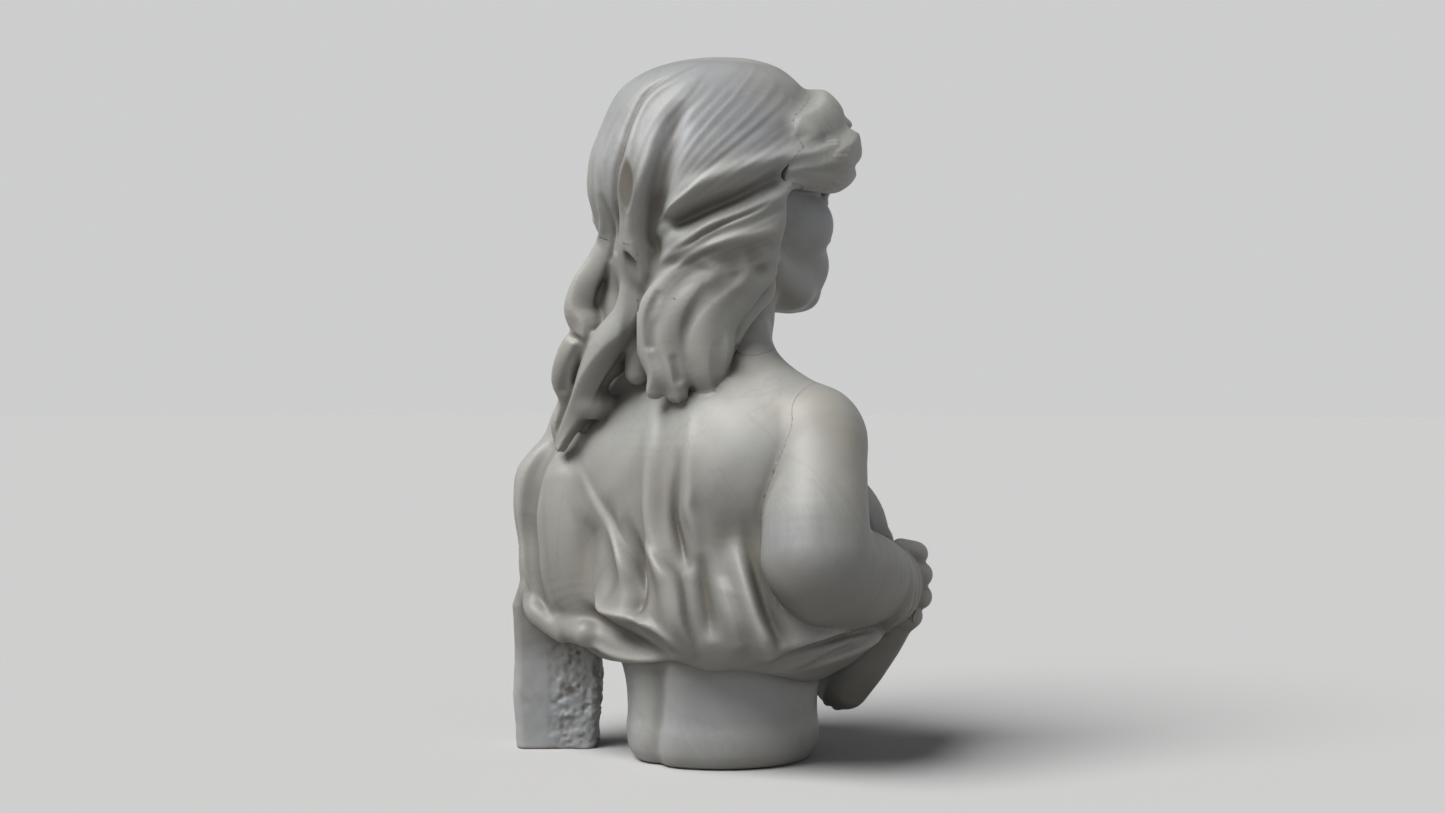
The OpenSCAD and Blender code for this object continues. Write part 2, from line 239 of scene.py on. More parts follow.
class Relief:
    """Folds drawn on a mass: how far the surface stands out, in millimetres, by
    turn from the back of the figure (degrees) and by height."""

    def __init__(self, low, high, girth):
        self.low = low
        self.girth = girth                      # millimetres along the surface per degree
        self.columns = round(360 / MAP_STEP)
        self.rows = int(high - low) + 1
        self.height = np.zeros((self.columns, self.rows))

    def window(self, path, reach):
        c0 = math.floor((path[:, 0].min() - reach / self.girth + 180) / MAP_STEP)
        c1 = math.ceil((path[:, 0].max() + reach / self.girth + 180) / MAP_STEP)
        c1 = min(c1, c0 + self.columns - 1)
        r0 = max(int(path[:, 1].min() - reach - self.low), 0)
        r1 = min(int(path[:, 1].max() + reach - self.low) + 1, self.rows)
        columns, rows = np.arange(c0, c1), np.arange(r0, max(r1, r0))
        turn = (columns * MAP_STEP - 180)[:, None]
        level = (rows + self.low)[None, :]
        return columns % self.columns, rows, turn, level

    def nearest(self, path, turn, level):
        """Distance to a path, which side of it, and the path's height there."""
        best = np.full((turn.shape[0], level.shape[1]), 1e3)
        side = np.ones_like(best)
        value = np.zeros_like(best)
        for a, b in zip(path, path[1:]):
            ax, az = (b[0] - a[0]) * self.girth, b[1] - a[1]
            dx, dz = (turn - a[0]) * self.girth, level - a[1]
            t = np.clip((dx * ax + dz * az) / max(ax * ax + az * az, 1e-6), 0, 1)
            away = np.hypot(dx - t * ax, dz - t * az)
            closer = away < best
            best = np.where(closer, away, best)
            side = np.where(closer, np.where(ax * dz - az * dx >= 0, 1.0, -1.0), side)
            value = np.where(closer, a[2] + t * (b[2] - a[2]), value)
        return best, side, value

    def fold(self, points, width):
        """A rounded ridge (or a hollow, where its height is negative) along rows of
        turn, height above the base and how far it stands out."""
        path = curve(points, 4)
        columns, rows, turn, level = self.window(path, 3 * width)
        away, _, value = self.nearest(path, turn, level)
        self.height[np.ix_(columns, rows)] += value * np.exp(-(away / width) ** 2)

    def edge(self, points, width, reach):
        """The edge of an overlapping cloth: it steps up across the path and sinks
        back slowly over its reach. A negative reach puts the cloth on the other side."""
        path = curve(points, 4)
        columns, rows, turn, level = self.window(path, 2.5 * abs(reach))
        away, side, value = self.nearest(path, turn, level)
        across = away * side * math.copysign(1.0, reach)
        step = 0.5 + 0.5 * np.tanh(across / width)
        fade = np.exp(-(np.maximum(across, 0) / abs(reach)) ** 2)
        self.height[np.ix_(columns, rows)] += value * step * fade

    def at(self, turn, z):
        """The relief at turns in radians and at heights."""
        c = (np.degrees(turn) + 180) / MAP_STEP
        r = np.clip(z - self.low, 0, self.rows - 1.001) + 0 * c
        ci, ri = np.floor(c).astype(np.int32), np.floor(r).astype(np.int32)
        cf, rf = c - ci, r - ri
        h = self.height
        c0, c1 = ci % self.columns, (ci + 1) % self.columns
        r1 = np.minimum(ri + 1, self.rows - 1)
        return ((h[c0, ri] * (1 - cf) + h[c1, ri] * cf) * (1 - rf)
                + (h[c0, r1] * (1 - cf) + h[c1, r1] * cf) * rf)


class Loft:
    """A mass with one rounded section per level: height, centre y, half width and
    half depth. square is 2 for true ellipses and more for boxier ones."""

    def __init__(self, levels, square, relief, at=(0.0, 0.0), facing=0.0):
        self.levels = curve(levels, 4)
        self.square = square
        self.relief = relief
        self.at = at
        self.facing = math.radians(facing)

    def size(self, z):
        return [np.interp(z, self.levels[:, 0], self.levels[:, i]) for i in (1, 2, 3)]

    def on(self, turn, z, out=0.0):
        """A point on the surface, out millimetres proud of it, in the frame's axes."""
        cy, rx, ry = self.size(z)
        a = math.radians(turn)
        sx, sy = -math.sin(a), math.cos(a)
        r = (abs(sx / rx) ** self.square + abs(sy / ry) ** self.square) ** (-1 / self.square) + out
        x, y = sx * r, cy + sy * r
        c, s = math.cos(self.facing), math.sin(self.facing)
        return self.at[0] + c * x - s * y, self.at[1] + s * x + c * y, z

    def field(self, block):
        x, y, z = block.points(block.whole())
        c, s = math.cos(self.facing), math.sin(self.facing)
        dx, dy = x - self.at[0], y - self.at[1]
        lx, ly = c * dx + s * dy, c * dy - s * dx
        cy, rx, ry = (v.astype(np.float32) for v in self.size(z))
        qx, qy = np.abs(lx) / rx, np.abs(ly - cy) / ry
        n = self.square
        q = (qx ** n + qy ** n) ** (1 / n)
        slope = np.maximum(((qx ** (n - 1) / rx) ** 2 + (qy ** (n - 1) / ry) ** 2) ** 0.5, 1e-5)
        side = (q - 1.0) * np.maximum(q, 0.3) ** (n - 1) / slope
        lean = 1.0 / np.sqrt(1.0 + self.flare(z) ** 2)
        side = side * lean - self.relief.at(np.arctan2(-lx, ly - cy), z + 0 * lx).astype(np.float32)
        ends = np.maximum(z - self.levels[-1, 0], self.levels[0, 0] - z)
        return np.clip(-smooth_min(-side, -ends + 0 * side, LOFT_ROUNDING), -FAR, FAR).astype(np.float32)

    def flare(self, z):
        """How fast the section grows or shrinks with height."""
        return (np.interp(z + 2, self.levels[:, 0], self.levels[:, 3])
                - np.interp(z - 2, self.levels[:, 0], self.levels[:, 3])) / 4.0


# ---- The draped trunk -----------------------------------------------------

TRUNK_LEVELS = [
    (70, 0, 88, 82), (82, 0, 108, 94), (94, 0, 130, 104), (108, 0, 146, 111), (124, 0, 156, 115),
    (150, 0, 158, 116), (180, 1, 152, 111), (215, 4, 144, 104), (255, 8, 138, 98), (295, 12, 132, 90),
    (325, 14, 118, 78), (348, 15, 92, 64), (368, 15, 66, 54), (390, 12, 50, 48)]


def back_folds(relief):
    """The cloth over the back: long folds that fall from the shoulders to the hem."""
    relief.fold([(-7, 345, 0), (3, 300, 3), (4, 263, 6), (5, 236, 8), (8, 212, 9), (13, 192, 10),
                 (17, 172, 11), (20, 150, 10), (22, 128, 6), (23, 112, 0)], 12)
    relief.fold([(-16, 230, 0), (-9, 210, -6), (-4, 192, -12), (-2, 173, -15), (1, 155, -14),
                 (2, 144, -10), (4, 132, 0)], 12)
    relief.edge([(4, 212, 0), (9, 203, 4), (16, 190, 6), (22, 180, 7), (25, 165, 7), (27, 141, 7),
                 (30, 120, 4), (32, 108, 0)], 2.2, -14)
    relief.fold([(29, 330, 0), (30, 295, 4), (30, 262, 7), (29, 240, 8), (31, 222, 6), (33, 200, 0)], 8)
    relief.fold([(24, 295, 0), (23, 272, -4), (21, 250, -7), (20, 228, -9), (23, 206, -8), (27, 190, -3)], 7)
    relief.fold([(43, 330, 0), (44, 295, -5), (46, 255, -8), (47, 218, -8), (44, 188, -4), (42, 170, 0)], 19)
    relief.fold([(-28, 250, 0), (-24, 220, -4), (-19, 190, -6), (-17, 165, -5), (-16, 148, 0)], 13)
    relief.fold([(-62, 310, 0), (-58, 285, 5), (-50, 256, 6), (-40, 232, 5), (-34, 214, 0)], 10)
    relief.fold([(33, 200, 0), (34, 185, -6), (35, 165, -9), (37, 141, -8), (38, 122, 0)], 8.5)
    relief.fold([(41, 180, 0), (43, 160, 4), (46, 140, 6), (48, 122, 4)], 8)
    relief.fold([(47, 215, 0), (49, 190, 5), (51, 168, 8), (53, 145, 11), (56, 126, 13), (57, 112, 6)], 8.5)
    relief.fold([(53, 240, 0), (54, 215, -5), (55, 190, -8), (57, 165, -10), (60, 140, -11),
                 (63, 122, -7), (64, 110, 0)], 8)
    relief.fold([(66, 270, 0), (72, 240, -9), (78, 212, -17), (84, 185, -21), (90, 162, -20), (94, 144, -8),
                 (96, 134, 0)], 26)


def swag_folds(relief):
    """The overlapping edge that runs down from the left shoulder and along the hem."""
    relief.edge([(-52, 292, 0), (-40, 264, 5), (-29, 238, 8), (-18, 211, 10), (-8, 187, 10), (0, 166, 7),
                 (4, 148, 0)], 2.4, -18)
    relief.edge([(-30, 156, 0), (-25, 150, 6), (-18, 141, 9), (-6, 138, 9), (8, 133, 8), (18, 124, 5),
                 (28, 110, 0)], 2.4, 22)
    relief.fold([(-26, 152, 0), (-18, 142, 5), (-8, 139, 7), (4, 136, 7), (14, 129, 6), (23, 116, 4),
                 (32, 104, 0)], 6)
    relief.fold([(-44, 150, -2), (-36, 138, -8), (-24, 127, -13), (-12, 120, -14), (0, 114, -12),
                 (10, 108, -7), (18, 101, 0)], 9)
    relief.fold([(-52, 140, 0), (-40, 116, 3), (-26, 104, 5), (-10, 99, 5), (4, 97, 3), (12, 97, 0)], 5)


def hem_folds(relief):
    """The rolled hem, and the creases that part it from the bag of cloth above."""
    relief.edge([(57, 104, 0), (62, 108, 5), (70, 118, 6), (80, 125, 7), (92, 131, 7), (104, 134, 5),
                 (120, 138, 0)], 1.8, 16)
    relief.fold([(58, 106, 0), (66, 113, -4), (78, 121, -6), (92, 127, -6), (106, 131, -3), (116, 134, 0)], 4)
    relief.fold([(70, 94, 0), (78, 103, -3), (88, 113, -4), (100, 118, 0)], 4)
    relief.fold([(60, 98, 0), (72, 99, 3), (88, 106, 6), (104, 114, 7), (120, 118, 4), (136, 122, 0)], 8)
    for k, turn in enumerate((-150, -128, -104, -84, 128, 146, 165, -172)):
        lean = 6 * (-1) ** k
        relief.fold([(turn, 190, 0), (turn + lean, 160, 5), (turn, 130, 7), (turn - lean, 104, 4),
                     (turn, 90, 0)], 9)
        beside = turn + 9
        relief.fold([(beside, 180, 0), (beside + lean, 150, -4), (beside, 118, -6), (beside, 98, 0)], 7)


def front_folds(relief):
    """Swags of cloth across the chest and belly."""
    for k in range(7):
        drop = 24 * k
        slack = 4 + 2 * (k % 3)
        relief.fold([(122, 272 - drop, 0), (146, 244 - drop, slack), (172, 226 - drop, slack + 2),
                     (200, 232 - drop, slack + 1), (226, 262 - drop, slack), (244, 288 - drop, 0)], 5.5)
        relief.fold([(128, 256 - drop, 0), (150, 232 - drop, -4), (174, 215 - drop, -5),
                     (200, 221 - drop, -4), (224, 250 - drop, 0)], 4.5)


def trunk_relief():
    relief = Relief(60, 392, 2.4)
    back_folds(relief)
    swag_folds(relief)
    hem_folds(relief)
    front_folds(relief)
    return relief


TRUNK = Loft(TRUNK_LEVELS, 2.25, trunk_relief())

TRUNK_MASSES = [
    Egg((-50, -62, 240), (50, 46, 48), 26), Egg((54, -62, 240), (50, 46, 48), 26),
    Stroke([(-118, 14, 300, 44), (-60, 18, 328, 38), (0, 22, 342, 40), (60, 22, 332, 40),
            (128, 28, 302, 46)], 22),
    Egg((-62, 60, 272), (56, 40, 58), 26), Egg((66, 58, 268), (56, 42, 62), 26),
    Stroke([(-44, 8, 368, 19), (-74, 12, 346, 24), (-104, 13, 325, 26)], 20),
    Stroke([(-86, 26, 314, 36), (-92, 34, 288, 38), (-96, 38, 262, 35)], 20),
    Stroke([(50, 10, 372, 22), (84, 18, 346, 26), (116, 26, 330, 30)], 24)]

NECKLINE = [
    Stroke([(-96, -22, 330, 7), (-66, -60, 312, 9), (-30, -88, 292, 10), (2, -98, 284, 11),
            (34, -90, 292, 10), (70, -62, 314, 9), (100, -20, 334, 7)], 7)]

# The cloth that the right hand holds up across the breast
HELD_CLOTH = [
    Stroke([(-50, -80, 276, 22), (-74, -91, 252, 20), (-94, -98, 230, 18), (-104, -102, 206, 16)], 14,
           strands=(6, 2.0, 0.8)),
    Stroke([(-10, -96, 262, 16), (-46, -106, 240, 16), (-78, -109, 216, 15), (-96, -108, 196, 13)], 12)]

# How low the hem hangs, by turn from the back
HEM = curve([(-200, 92), (-170, 86), (-140, 92), (-110, 100), (-80, 96), (-52, 92), (-24, 93), (2, 97),
             (20, 101), (34, 94), (48, 95), (60, 92), (74, 86), (90, 79), (112, 74), (136, 80), (160, 92),
             (184, 84), (200, 88)], 4)
HEM_ROUNDING = 7.0


def trunk_field(block):
    """The trunk with its lesser masses, ended below at the hem."""
    field = TRUNK.field(block)
    for stroke in TRUNK_MASSES + NECKLINE + HELD_CLOTH:
        stroke.apply(block, field)
    x, y, z = block.points(block.whole())
    hem = np.interp(np.degrees(np.arctan2(-x, y)), HEM[:, 0], HEM[:, 1]).astype(np.float32)
    return -smooth_min(-field, z - hem, HEM_ROUNDING)


# ---- Neck, head and face --------------------------------------------------

HEAD_AT = np.array((0.0, -6.0, 0.0))
HEAD_TURN = math.radians(15.0)


def head_point(x, y, z):
    """From the head's own axes, facing -Y, to the frame's."""
    c, s = math.cos(-HEAD_TURN), math.sin(-HEAD_TURN)
    return HEAD_AT[0] + c * x - s * y, HEAD_AT[1] + s * x + c * y, z


def head_stroke(points, blend, cut=False, strands=None):
    return Stroke([(*head_point(x, y, z), r) for x, y, z, r in points], blend, cut, strands)


def head_egg(centre, radii, blend, cut=False):
    return Egg(head_point(*centre), radii, blend, cut, turn=-math.degrees(HEAD_TURN))


def mirrored(make, points, *rest):
    """The same form on both sides of the head."""
    flipped = [(-p[0], *p[1:]) for p in points]
    return [make(points, *rest), make(flipped, *rest)]


def mirrored_egg(centre, radii, blend, cut=False):
    x, y, z = centre
    return [head_egg((x, y, z), radii, blend, cut), head_egg((-x, y, z), radii, blend, cut)]


NECK = [
    Stroke([(0, 16, 352, 54), (0, 14, 385, 50), (-1, 8, 425, 49), (-2, 4, 470, 50)], 12),
    Stroke([(-64, 18, 346, 24), (-48, 16, 372, 22), (-38, 12, 400, 20)], 22),
    Stroke([(64, 18, 346, 24), (48, 16, 372, 22), (38, 12, 400, 20)], 22),
    Stroke([(-50, 6, 470, 12), (-36, -14, 420, 12), (-12, -34, 378, 10), (-5, -38, 362, 8)], 12),
    Stroke([(48, 0, 470, 12), (36, -20, 420, 12), (16, -34, 378, 10), (6, -38, 362, 8)], 12)]

SKULL = [
    head_egg((0, 12, 568), (74, 92, 76), 10),
    head_egg((0, -28, 560), (66, 64, 68), 16),
    head_egg((0, -42, 500), (58, 56, 62), 22),
    head_egg((0, -54, 462), (42, 44, 40), 20),
    head_egg((0, -78, 440), (19, 19, 18), 16),
    *mirrored(head_stroke, [(56, 4, 486, 13), (49, -22, 458, 14), (26, -62, 440, 15)], 16),
    *mirrored_egg((38, -66, 502), (24, 26, 26), 16)]

FACE = [
    *mirrored_egg((31, -95, 531), (19, 14, 12), 9, True),
    *mirrored(head_stroke, [(9, -96, 546, 6), (26, -95, 552, 6), (46, -82, 549, 6), (56, -68, 541, 6)], 9),
    head_egg((0, -90, 512), (13, 16, 27), 9),
    head_stroke([(0, -93, 546, 8), (0, -100, 526, 7.5), (0, -109, 505, 8), (0, -112, 495, 8.5)], 10),
    *mirrored_egg((9.5, -101, 492), (6.5, 9, 6.5), 6),
    *mirrored_egg((5.5, -106, 485), (2.8, 4.5, 2.2), 2, True),
    *mirrored_egg((30.5, -80, 530), (14.5, 13.5, 13), 2),
    *mirrored(head_stroke, [(15, -86, 529, 2.6), (24, -93, 536, 3), (36, -92, 536, 3), (46, -82, 530, 2.6)],
              2.5),
    *mirrored(head_stroke, [(16, -86, 528, 2), (25, -91, 523.5, 2.4), (36, -90, 523.5, 2.4),
                            (45, -82, 528, 2)], 2.5),
    *mirrored(head_stroke, [(14, -90, 541, 1.6), (26, -96, 543, 1.6), (40, -92, 542, 1.6),
                            (49, -83, 536, 1.6)], 2.5, True),
    head_egg((0, -88, 464), (31, 16, 20), 20),
    head_stroke([(-23, -93, 465.5, 2.4), (-12, -102, 468, 4.4), (-4, -105, 470, 4.9), (0, -104.6, 469.2, 4.6),
                 (4, -105, 470, 4.9), (12, -102, 468, 4.4), (23, -93, 465.5, 2.4)], 4.5),
    head_stroke([(-20, -94, 464, 2.4), (-10, -101, 459, 5), (0, -103, 457.6, 6), (10, -101, 459, 5),
                 (20, -94, 464, 2.4)], 4.5),
    head_stroke([(-25, -94.8, 465.8, 1.1), (-12, -106.4, 464.0, 1.5), (0, -109.6, 463.4, 1.7),
                 (12, -106.4, 464.0, 1.5), (25, -94.8, 465.8, 1.1)], 2.4, True),
    head_stroke([(0, -107, 483, 2.4), (0, -107, 475, 2.6)], 3, True),
    head_stroke([(-10, -105, 448, 4), (0, -107, 447.5, 4.5), (10, -105, 448, 4)], 9, True),
    head_egg((0, -90, 437), (15, 12, 12), 9)]


def ear(side):
    """One outer ear: the rim, the inner fold, the lobe and the hollow."""
    rim = [(78, 6, 500, 4), (80, 17, 514, 4), (81, 24, 532, 4.5), (80, 22, 548, 4.5), (78, 10, 557, 4.5),
           (76, 0, 550, 4), (75, -3, 538, 3.5)]
    fold = [(77, 6, 506, 3.5), (79, 13, 522, 3.5), (79, 14, 538, 3.5), (77, 7, 546, 3)]
    sign = 1 if side == "left" else -1

    def put(points, blend, cut=False):
        return head_stroke([(sign * x, y, z, r) for x, y, z, r in points], blend, cut)

    return [
        head_egg((sign * 70, 10, 528), (9, 17, 28), 6),
        put(rim, 3), put(fold, 3),
        put([(76, 2, 496, 6), (76, 1, 500, 6)], 4),
        put([(80, 2, 518, 4.5), (80, 3, 530, 5)], 3, True)]


# ---- Hair -----------------------------------------------------------------

SCALP_LEVELS = [
    (395, 24, 42, 62), (410, 24, 45, 72), (425, 24, 51, 83), (440, 24, 62, 92), (452, 22, 74, 99),
    (464, 20, 84, 104), (476, 18, 91, 108), (488, 16, 95, 111), (501, 14, 97, 116), (514, 14, 99, 121),
    (527, 14, 101, 125), (541, 14, 101, 126), (554, 14, 100, 125), (567, 14, 97, 122), (580, 14, 93, 117),
    (594, 14, 89, 111), (607, 14, 84, 105), (622, 14, 77, 96), (634, 12, 69, 85), (645, 8, 56, 69),
    (652, 3, 42, 53), (657, -2, 27, 34), (660, -5, 12, 15)]


def back_hair(relief):
    """The left-hand mass of hair, and the deep furrow that parts it from the right."""
    relief.edge([(52, 640, 0), (43, 611, 2), (34, 589, 4), (31, 568, 6), (30, 548, 8), (27, 528, 11),
                 (25, 512, 13), (23, 493, 13), (22, 476, 12), (22, 455, 8), (22, 430, 0)], 2.6, -26)
    relief.fold([(40, 606, 0), (38, 580, -4), (36, 552, -6), (33, 528, -8), (30, 508, -9), (28, 488, -9),
                 (27, 468, -7), (26, 450, 0)], 9)
    relief.fold([(45, 645, 0), (20, 617, -3), (15, 589, -4), (14, 561, -5), (12, 539, -5), (11, 516, -6),
                 (8, 495, -6), (5, 473, -3)], 4)
    relief.fold([(46, 640, 0), (26, 616, 2), (20, 593, 3), (20, 570, 4), (20, 547, 4), (21, 524, 4),
                 (21, 500, 3), (19, 480, 0)], 4.5)
    relief.fold([(3, 525, 0), (4, 500, -4), (0, 474, -5), (-4, 462, 0)], 3.5)
    relief.fold([(-1, 580, 0), (1, 540, 3), (-1, 505, 5), (-8, 485, 5)], 7)
    relief.fold([(-16, 640, 0), (-20, 600, -4), (-20, 560, -5), (-18, 520, -5), (-20, 488, -6),
                 (-22, 470, 0)], 6)


def side_hair(relief, sign):
    """The hair swept back over one ear in broad, overlapping waves."""
    for rows, width in (
            ([(128, 578, 0), (110, 566, 5), (90, 554, 6), (72, 545, 6), (60, 536, 6), (50, 528, 5),
              (42, 515, 4), (33, 503, 3), (27, 492, 0)], 8),
            ([(52, 531, 0), (42, 516, 2.4), (34, 504, 2.4), (27, 494, 0)], 2),
            ([(147, 561, 0), (124, 553, -2), (100, 541, -6), (82, 528, -9), (68, 517, -11), (52, 506, -12),
              (40, 496, -12), (30, 486, -9), (25, 472, 0)], 7.5),
            ([(110, 534, 0), (97, 526, 4), (85, 513, 6), (71, 501, 6), (58, 493, 6), (50, 483, 6),
              (42, 472, 5), (33, 462, 4)], 6.5),
            ([(91, 517, 0), (77, 505, -4), (61, 493, -5), (53, 485, -5), (46, 476, -4), (36, 467, 0)], 2.6),
            ([(108, 500, 2), (96, 498, 5), (80, 487, 7), (65, 476, 7), (54, 462, 4)], 16),
            ([(95, 493, 0), (86, 486, 3), (68, 480, 4), (55, 472, 4), (46, 462, 4), (39, 450, 4),
              (31, 436, 3)], 5),
            ([(64, 473, 0), (51, 463, -5), (44, 454, -6), (35, 440, -6), (28, 427, 0)], 2.4),
            ([(104, 468, 3), (84, 457, 7), (66, 448, 8), (50, 443, 7), (40, 434, 6), (33, 420, 3)], 6),
            ([(102, 449, -5), (87, 439, -9), (69, 428, -10), (57, 421, -9), (46, 418, -6)], 7)):
        relief.fold([(sign * turn, z, h) for turn, z, h in rows], width)


FLOW_RIGHT = [
    [(60, 652), (40, 622), (28, 590), (24, 556), (22, 520), (20, 485)],
    [(92, 645), (72, 615), (54, 583), (42, 550), (34, 515), (28, 490)],
    [(116, 610), (92, 586), (70, 560), (52, 534), (38, 508), (28, 490)],
    [(128, 575), (104, 560), (82, 540), (62, 518), (45, 500), (30, 480)],
    [(112, 540), (96, 524), (80, 506), (62, 490), (46, 472), (32, 452)],
    [(104, 505), (92, 490), (76, 478), (60, 466), (46, 452), (34, 430)],
    [(102, 470), (90, 458), (74, 447), (58, 440), (46, 430), (36, 412)]]
FLOW_LEFT = [
    [(20, 640), (8, 600), (4, 560), (6, 520), (2, 490), (-4, 470)],
    [(-20, 648), (-22, 600), (-20, 560), (-16, 520), (-14, 490), (-20, 465)],
    [(-70, 645), (-56, 600), (-46, 560), (-36, 520), (-30, 490), (-30, 465)],
    [(-116, 610), (-92, 586), (-72, 556), (-54, 525), (-42, 495), (-36, 465)],
    [(-128, 575), (-104, 555), (-84, 530), (-66, 505), (-52, 480), (-44, 450)],
    [(-108, 520), (-94, 500), (-80, 482), (-64, 466), (-54, 450), (-48, 430)],
    [(-102, 470), (-90, 458), (-76, 448), (-62, 440), (-54, 430), (-48, 415)]]


def strands(relief, flow, number, seed):
    """Fine combed strands that follow the flow of the hair between key lines."""
    chance = np.random.default_rng(seed)
    lines = np.array(flow, dtype=float)
    for i in range(number):
        s = (len(lines) - 1) * (i + 0.7 * chance.random()) / number
        k = min(int(s), len(lines) - 2)
        path = lines[k] + (s - k) * (lines[k + 1] - lines[k])
        height = (0.25 + 0.5 * chance.random()) * (-1 if i % 2 else 1)
        first = int(chance.integers(0, 2))
        last = len(path) - int(chance.integers(0, 2))
        path = path[first:last]
        ends = np.sin(np.linspace(0.35, math.pi - 0.35, len(path)))
        relief.fold([(t, z, height * e) for (t, z), e in zip(path, ends)], 2.0 + 1.8 * chance.random())


def scalp_relief():
    relief = Relief(390, 662, 1.9)
    back_hair(relief)
    side_hair(relief, 1)
    side_hair(relief, -1)
    strands(relief, FLOW_RIGHT, 48, 11)
    strands(relief, FLOW_LEFT, 48, 12)
    return relief


SCALP = Loft(SCALP_LEVELS, 2.0, scalp_relief(), at=(HEAD_AT[0], HEAD_AT[1]), facing=-15.0)


# The hairline: how far in front of the head's middle, and below what height
TEMPLE_FRONT, TEMPLE_TOP = 3.0, 532.0
BROW_FRONT, BROW_TOP = 64.0, 590.0


def face_opening(block):
    """The space in front of the hairline, which the hair is cut back from."""
    x, y, z = block.points(block.whole())
    c, s = math.cos(-HEAD_TURN), math.sin(-HEAD_TURN)
    dx, dy = x - HEAD_AT[0], y - HEAD_AT[1]
    ly = c * dy - s * dx
    temple = -smooth_min(-(ly + TEMPLE_FRONT), -(z - TEMPLE_TOP) + 0 * ly, 14.0)
    brow = -smooth_min(-(ly + BROW_FRONT), -(z - BROW_TOP) + 0 * ly, 14.0)
    return smooth_min(temple, brow, 10.0)


def lock(scalp, free, blend, strands=(5, 1.5, 2.0)):
    """A lock that starts on the scalp (rows of turn, height, how proud, radius)
    and goes on in the frame's own axes (rows of x, y, z, radius)."""
    start = [(*SCALP.on(turn, z, proud - r), r) for turn, z, proud, r in scalp]
    return Stroke(start + free, blend, strands=strands)


LEFT_LOCKS = [
    lock([(18, 545, -3, 14), (14, 520, 0, 14)],
         [(16, 98, 506, 14), (24, 103, 473, 14), (19, 100, 442, 15), (24, 102, 413, 16), (44, 111, 387, 16),
          (62, 113, 360, 14), (79, 109, 334, 12), (96, 107, 311, 9), (110, 106, 292, 6)], 5, (4, 1.8, 1.6)),
    lock([(-6, 545, -3, 13)],
         [(39, 102, 500, 12), (54, 108, 466, 13), (67, 116, 443, 14), (73, 118, 421, 15), (67, 114, 400, 15),
          (83, 117, 380, 14), (96, 115, 357, 13), (100, 106, 336, 11), (112, 106, 314, 9),
          (116, 102, 296, 5)], 5, (4, 1.8, -1.6)),
    Stroke([(36, 84, 480, 18), (42, 88, 445, 17), (46, 90, 412, 17), (56, 92, 388, 17), (72, 94, 360, 14),
            (90, 94, 330, 10)], 8),
    Stroke([(30, 78, 490, 18), (33, 80, 450, 17), (36, 84, 420, 17)], 8),
    Stroke([(70, 84, 430, 22), (74, 88, 400, 22), (84, 90, 370, 19), (92, 90, 340, 15),
            (98, 90, 316, 11)], 9),
    Stroke([(58, 74, 440, 20), (62, 76, 405, 19), (68, 80, 376, 17)], 10),
    Stroke([(70, 84, 330, 12), (71, 102, 331, 13)], 8),
    Stroke([(26, 84, 398, 13), (28, 84, 378, 13), (30, 84, 362, 12)], 8),
    Stroke([(42, 121, 470, 2), (43, 126, 446, 5), (46, 128, 424, 6), (50, 125, 404, 4)], 5, cut=True),
    Stroke([(80, 128, 398, 2), (64, 126, 388, 4), (76, 128, 366, 5), (90, 122, 345, 4)], 5, cut=True)]

OUTER_LOCK = [
    lock([(-26, 545, -4, 15), (-28, 515, -1, 12)],
         [(70, 80, 486, 10), (84, 83, 466, 11), (98, 86, 444, 11), (103, 86, 424, 10), (102, 84, 406, 8),
          (100, 84, 394, 5)], 5, (4, 1.4, 2.0)),
    lock([(-46, 535, -4, 15), (-46, 505, -1, 14)],
         [(86, 54, 478, 13), (94, 62, 454, 14), (98, 66, 430, 13), (96, 66, 408, 11), (92, 66, 390, 7)], 6,
         (4, 1.4, -2.0)),
    Stroke([(70, 60, 474, 22), (78, 64, 444, 20), (82, 68, 414, 16)], 10)]

NAPE_LOCKS = [
    lock([(30, 490, -3, 12)],
         [(-36, 84, 461, 13), (-25, 96, 444, 12), (-14, 106, 426, 12), (-6, 110, 404, 11), (-7, 107, 378, 11),
          (-13, 103, 359, 11), (-10, 103, 345, 9)], 8, (3, 1.5, 1.6)),
    lock([(44, 480, -3, 13)],
         [(-54, 70, 453, 13), (-44, 80, 441, 13), (-33, 92, 423, 13), (-26, 98, 404, 12), (-23, 99, 382, 12),
          (-27, 96, 359, 12), (-28, 92, 342, 10)], 9, (4, 1.5, -1.6)),
    lock([(62, 478, -3, 13)],
         [(-67, 48, 452, 13), (-59, 58, 434, 13), (-50, 71, 414, 13), (-43, 79, 390, 13), (-45, 78, 365, 12),
          (-47, 71, 346, 10)], 9, (4, 1.5, 1.6)),
    lock([(84, 478, -2, 12)],
         [(-74, 22, 456, 11), (-68, 34, 441, 12), (-61, 46, 423, 12), (-54, 57, 401, 12), (-55, 60, 381, 11),
          (-51, 64, 362, 9)], 9, (3, 1.5, -1.6)),
    lock([(102, 462, -1, 8)], [(-66, 12, 438, 8), (-62, 24, 424, 9), (-58, 36, 409, 9), (-55, 44, 391, 7)], 4,
         (3, 1.2, 2.0)),
    Stroke([(-14, 82, 452, 22), (-14, 86, 420, 22), (-16, 86, 390, 22), (-18, 84, 364, 20)], 8),
    Stroke([(-40, 62, 452, 24), (-38, 66, 420, 24), (-38, 66, 390, 24), (-38, 66, 364, 20)], 8),
    Stroke([(10, 128, 328, 8), (-18, 124, 333, 9), (-34, 116, 330, 9), (-52, 104, 335, 9),
            (-76, 86, 334, 10)], 3, cut=True)]

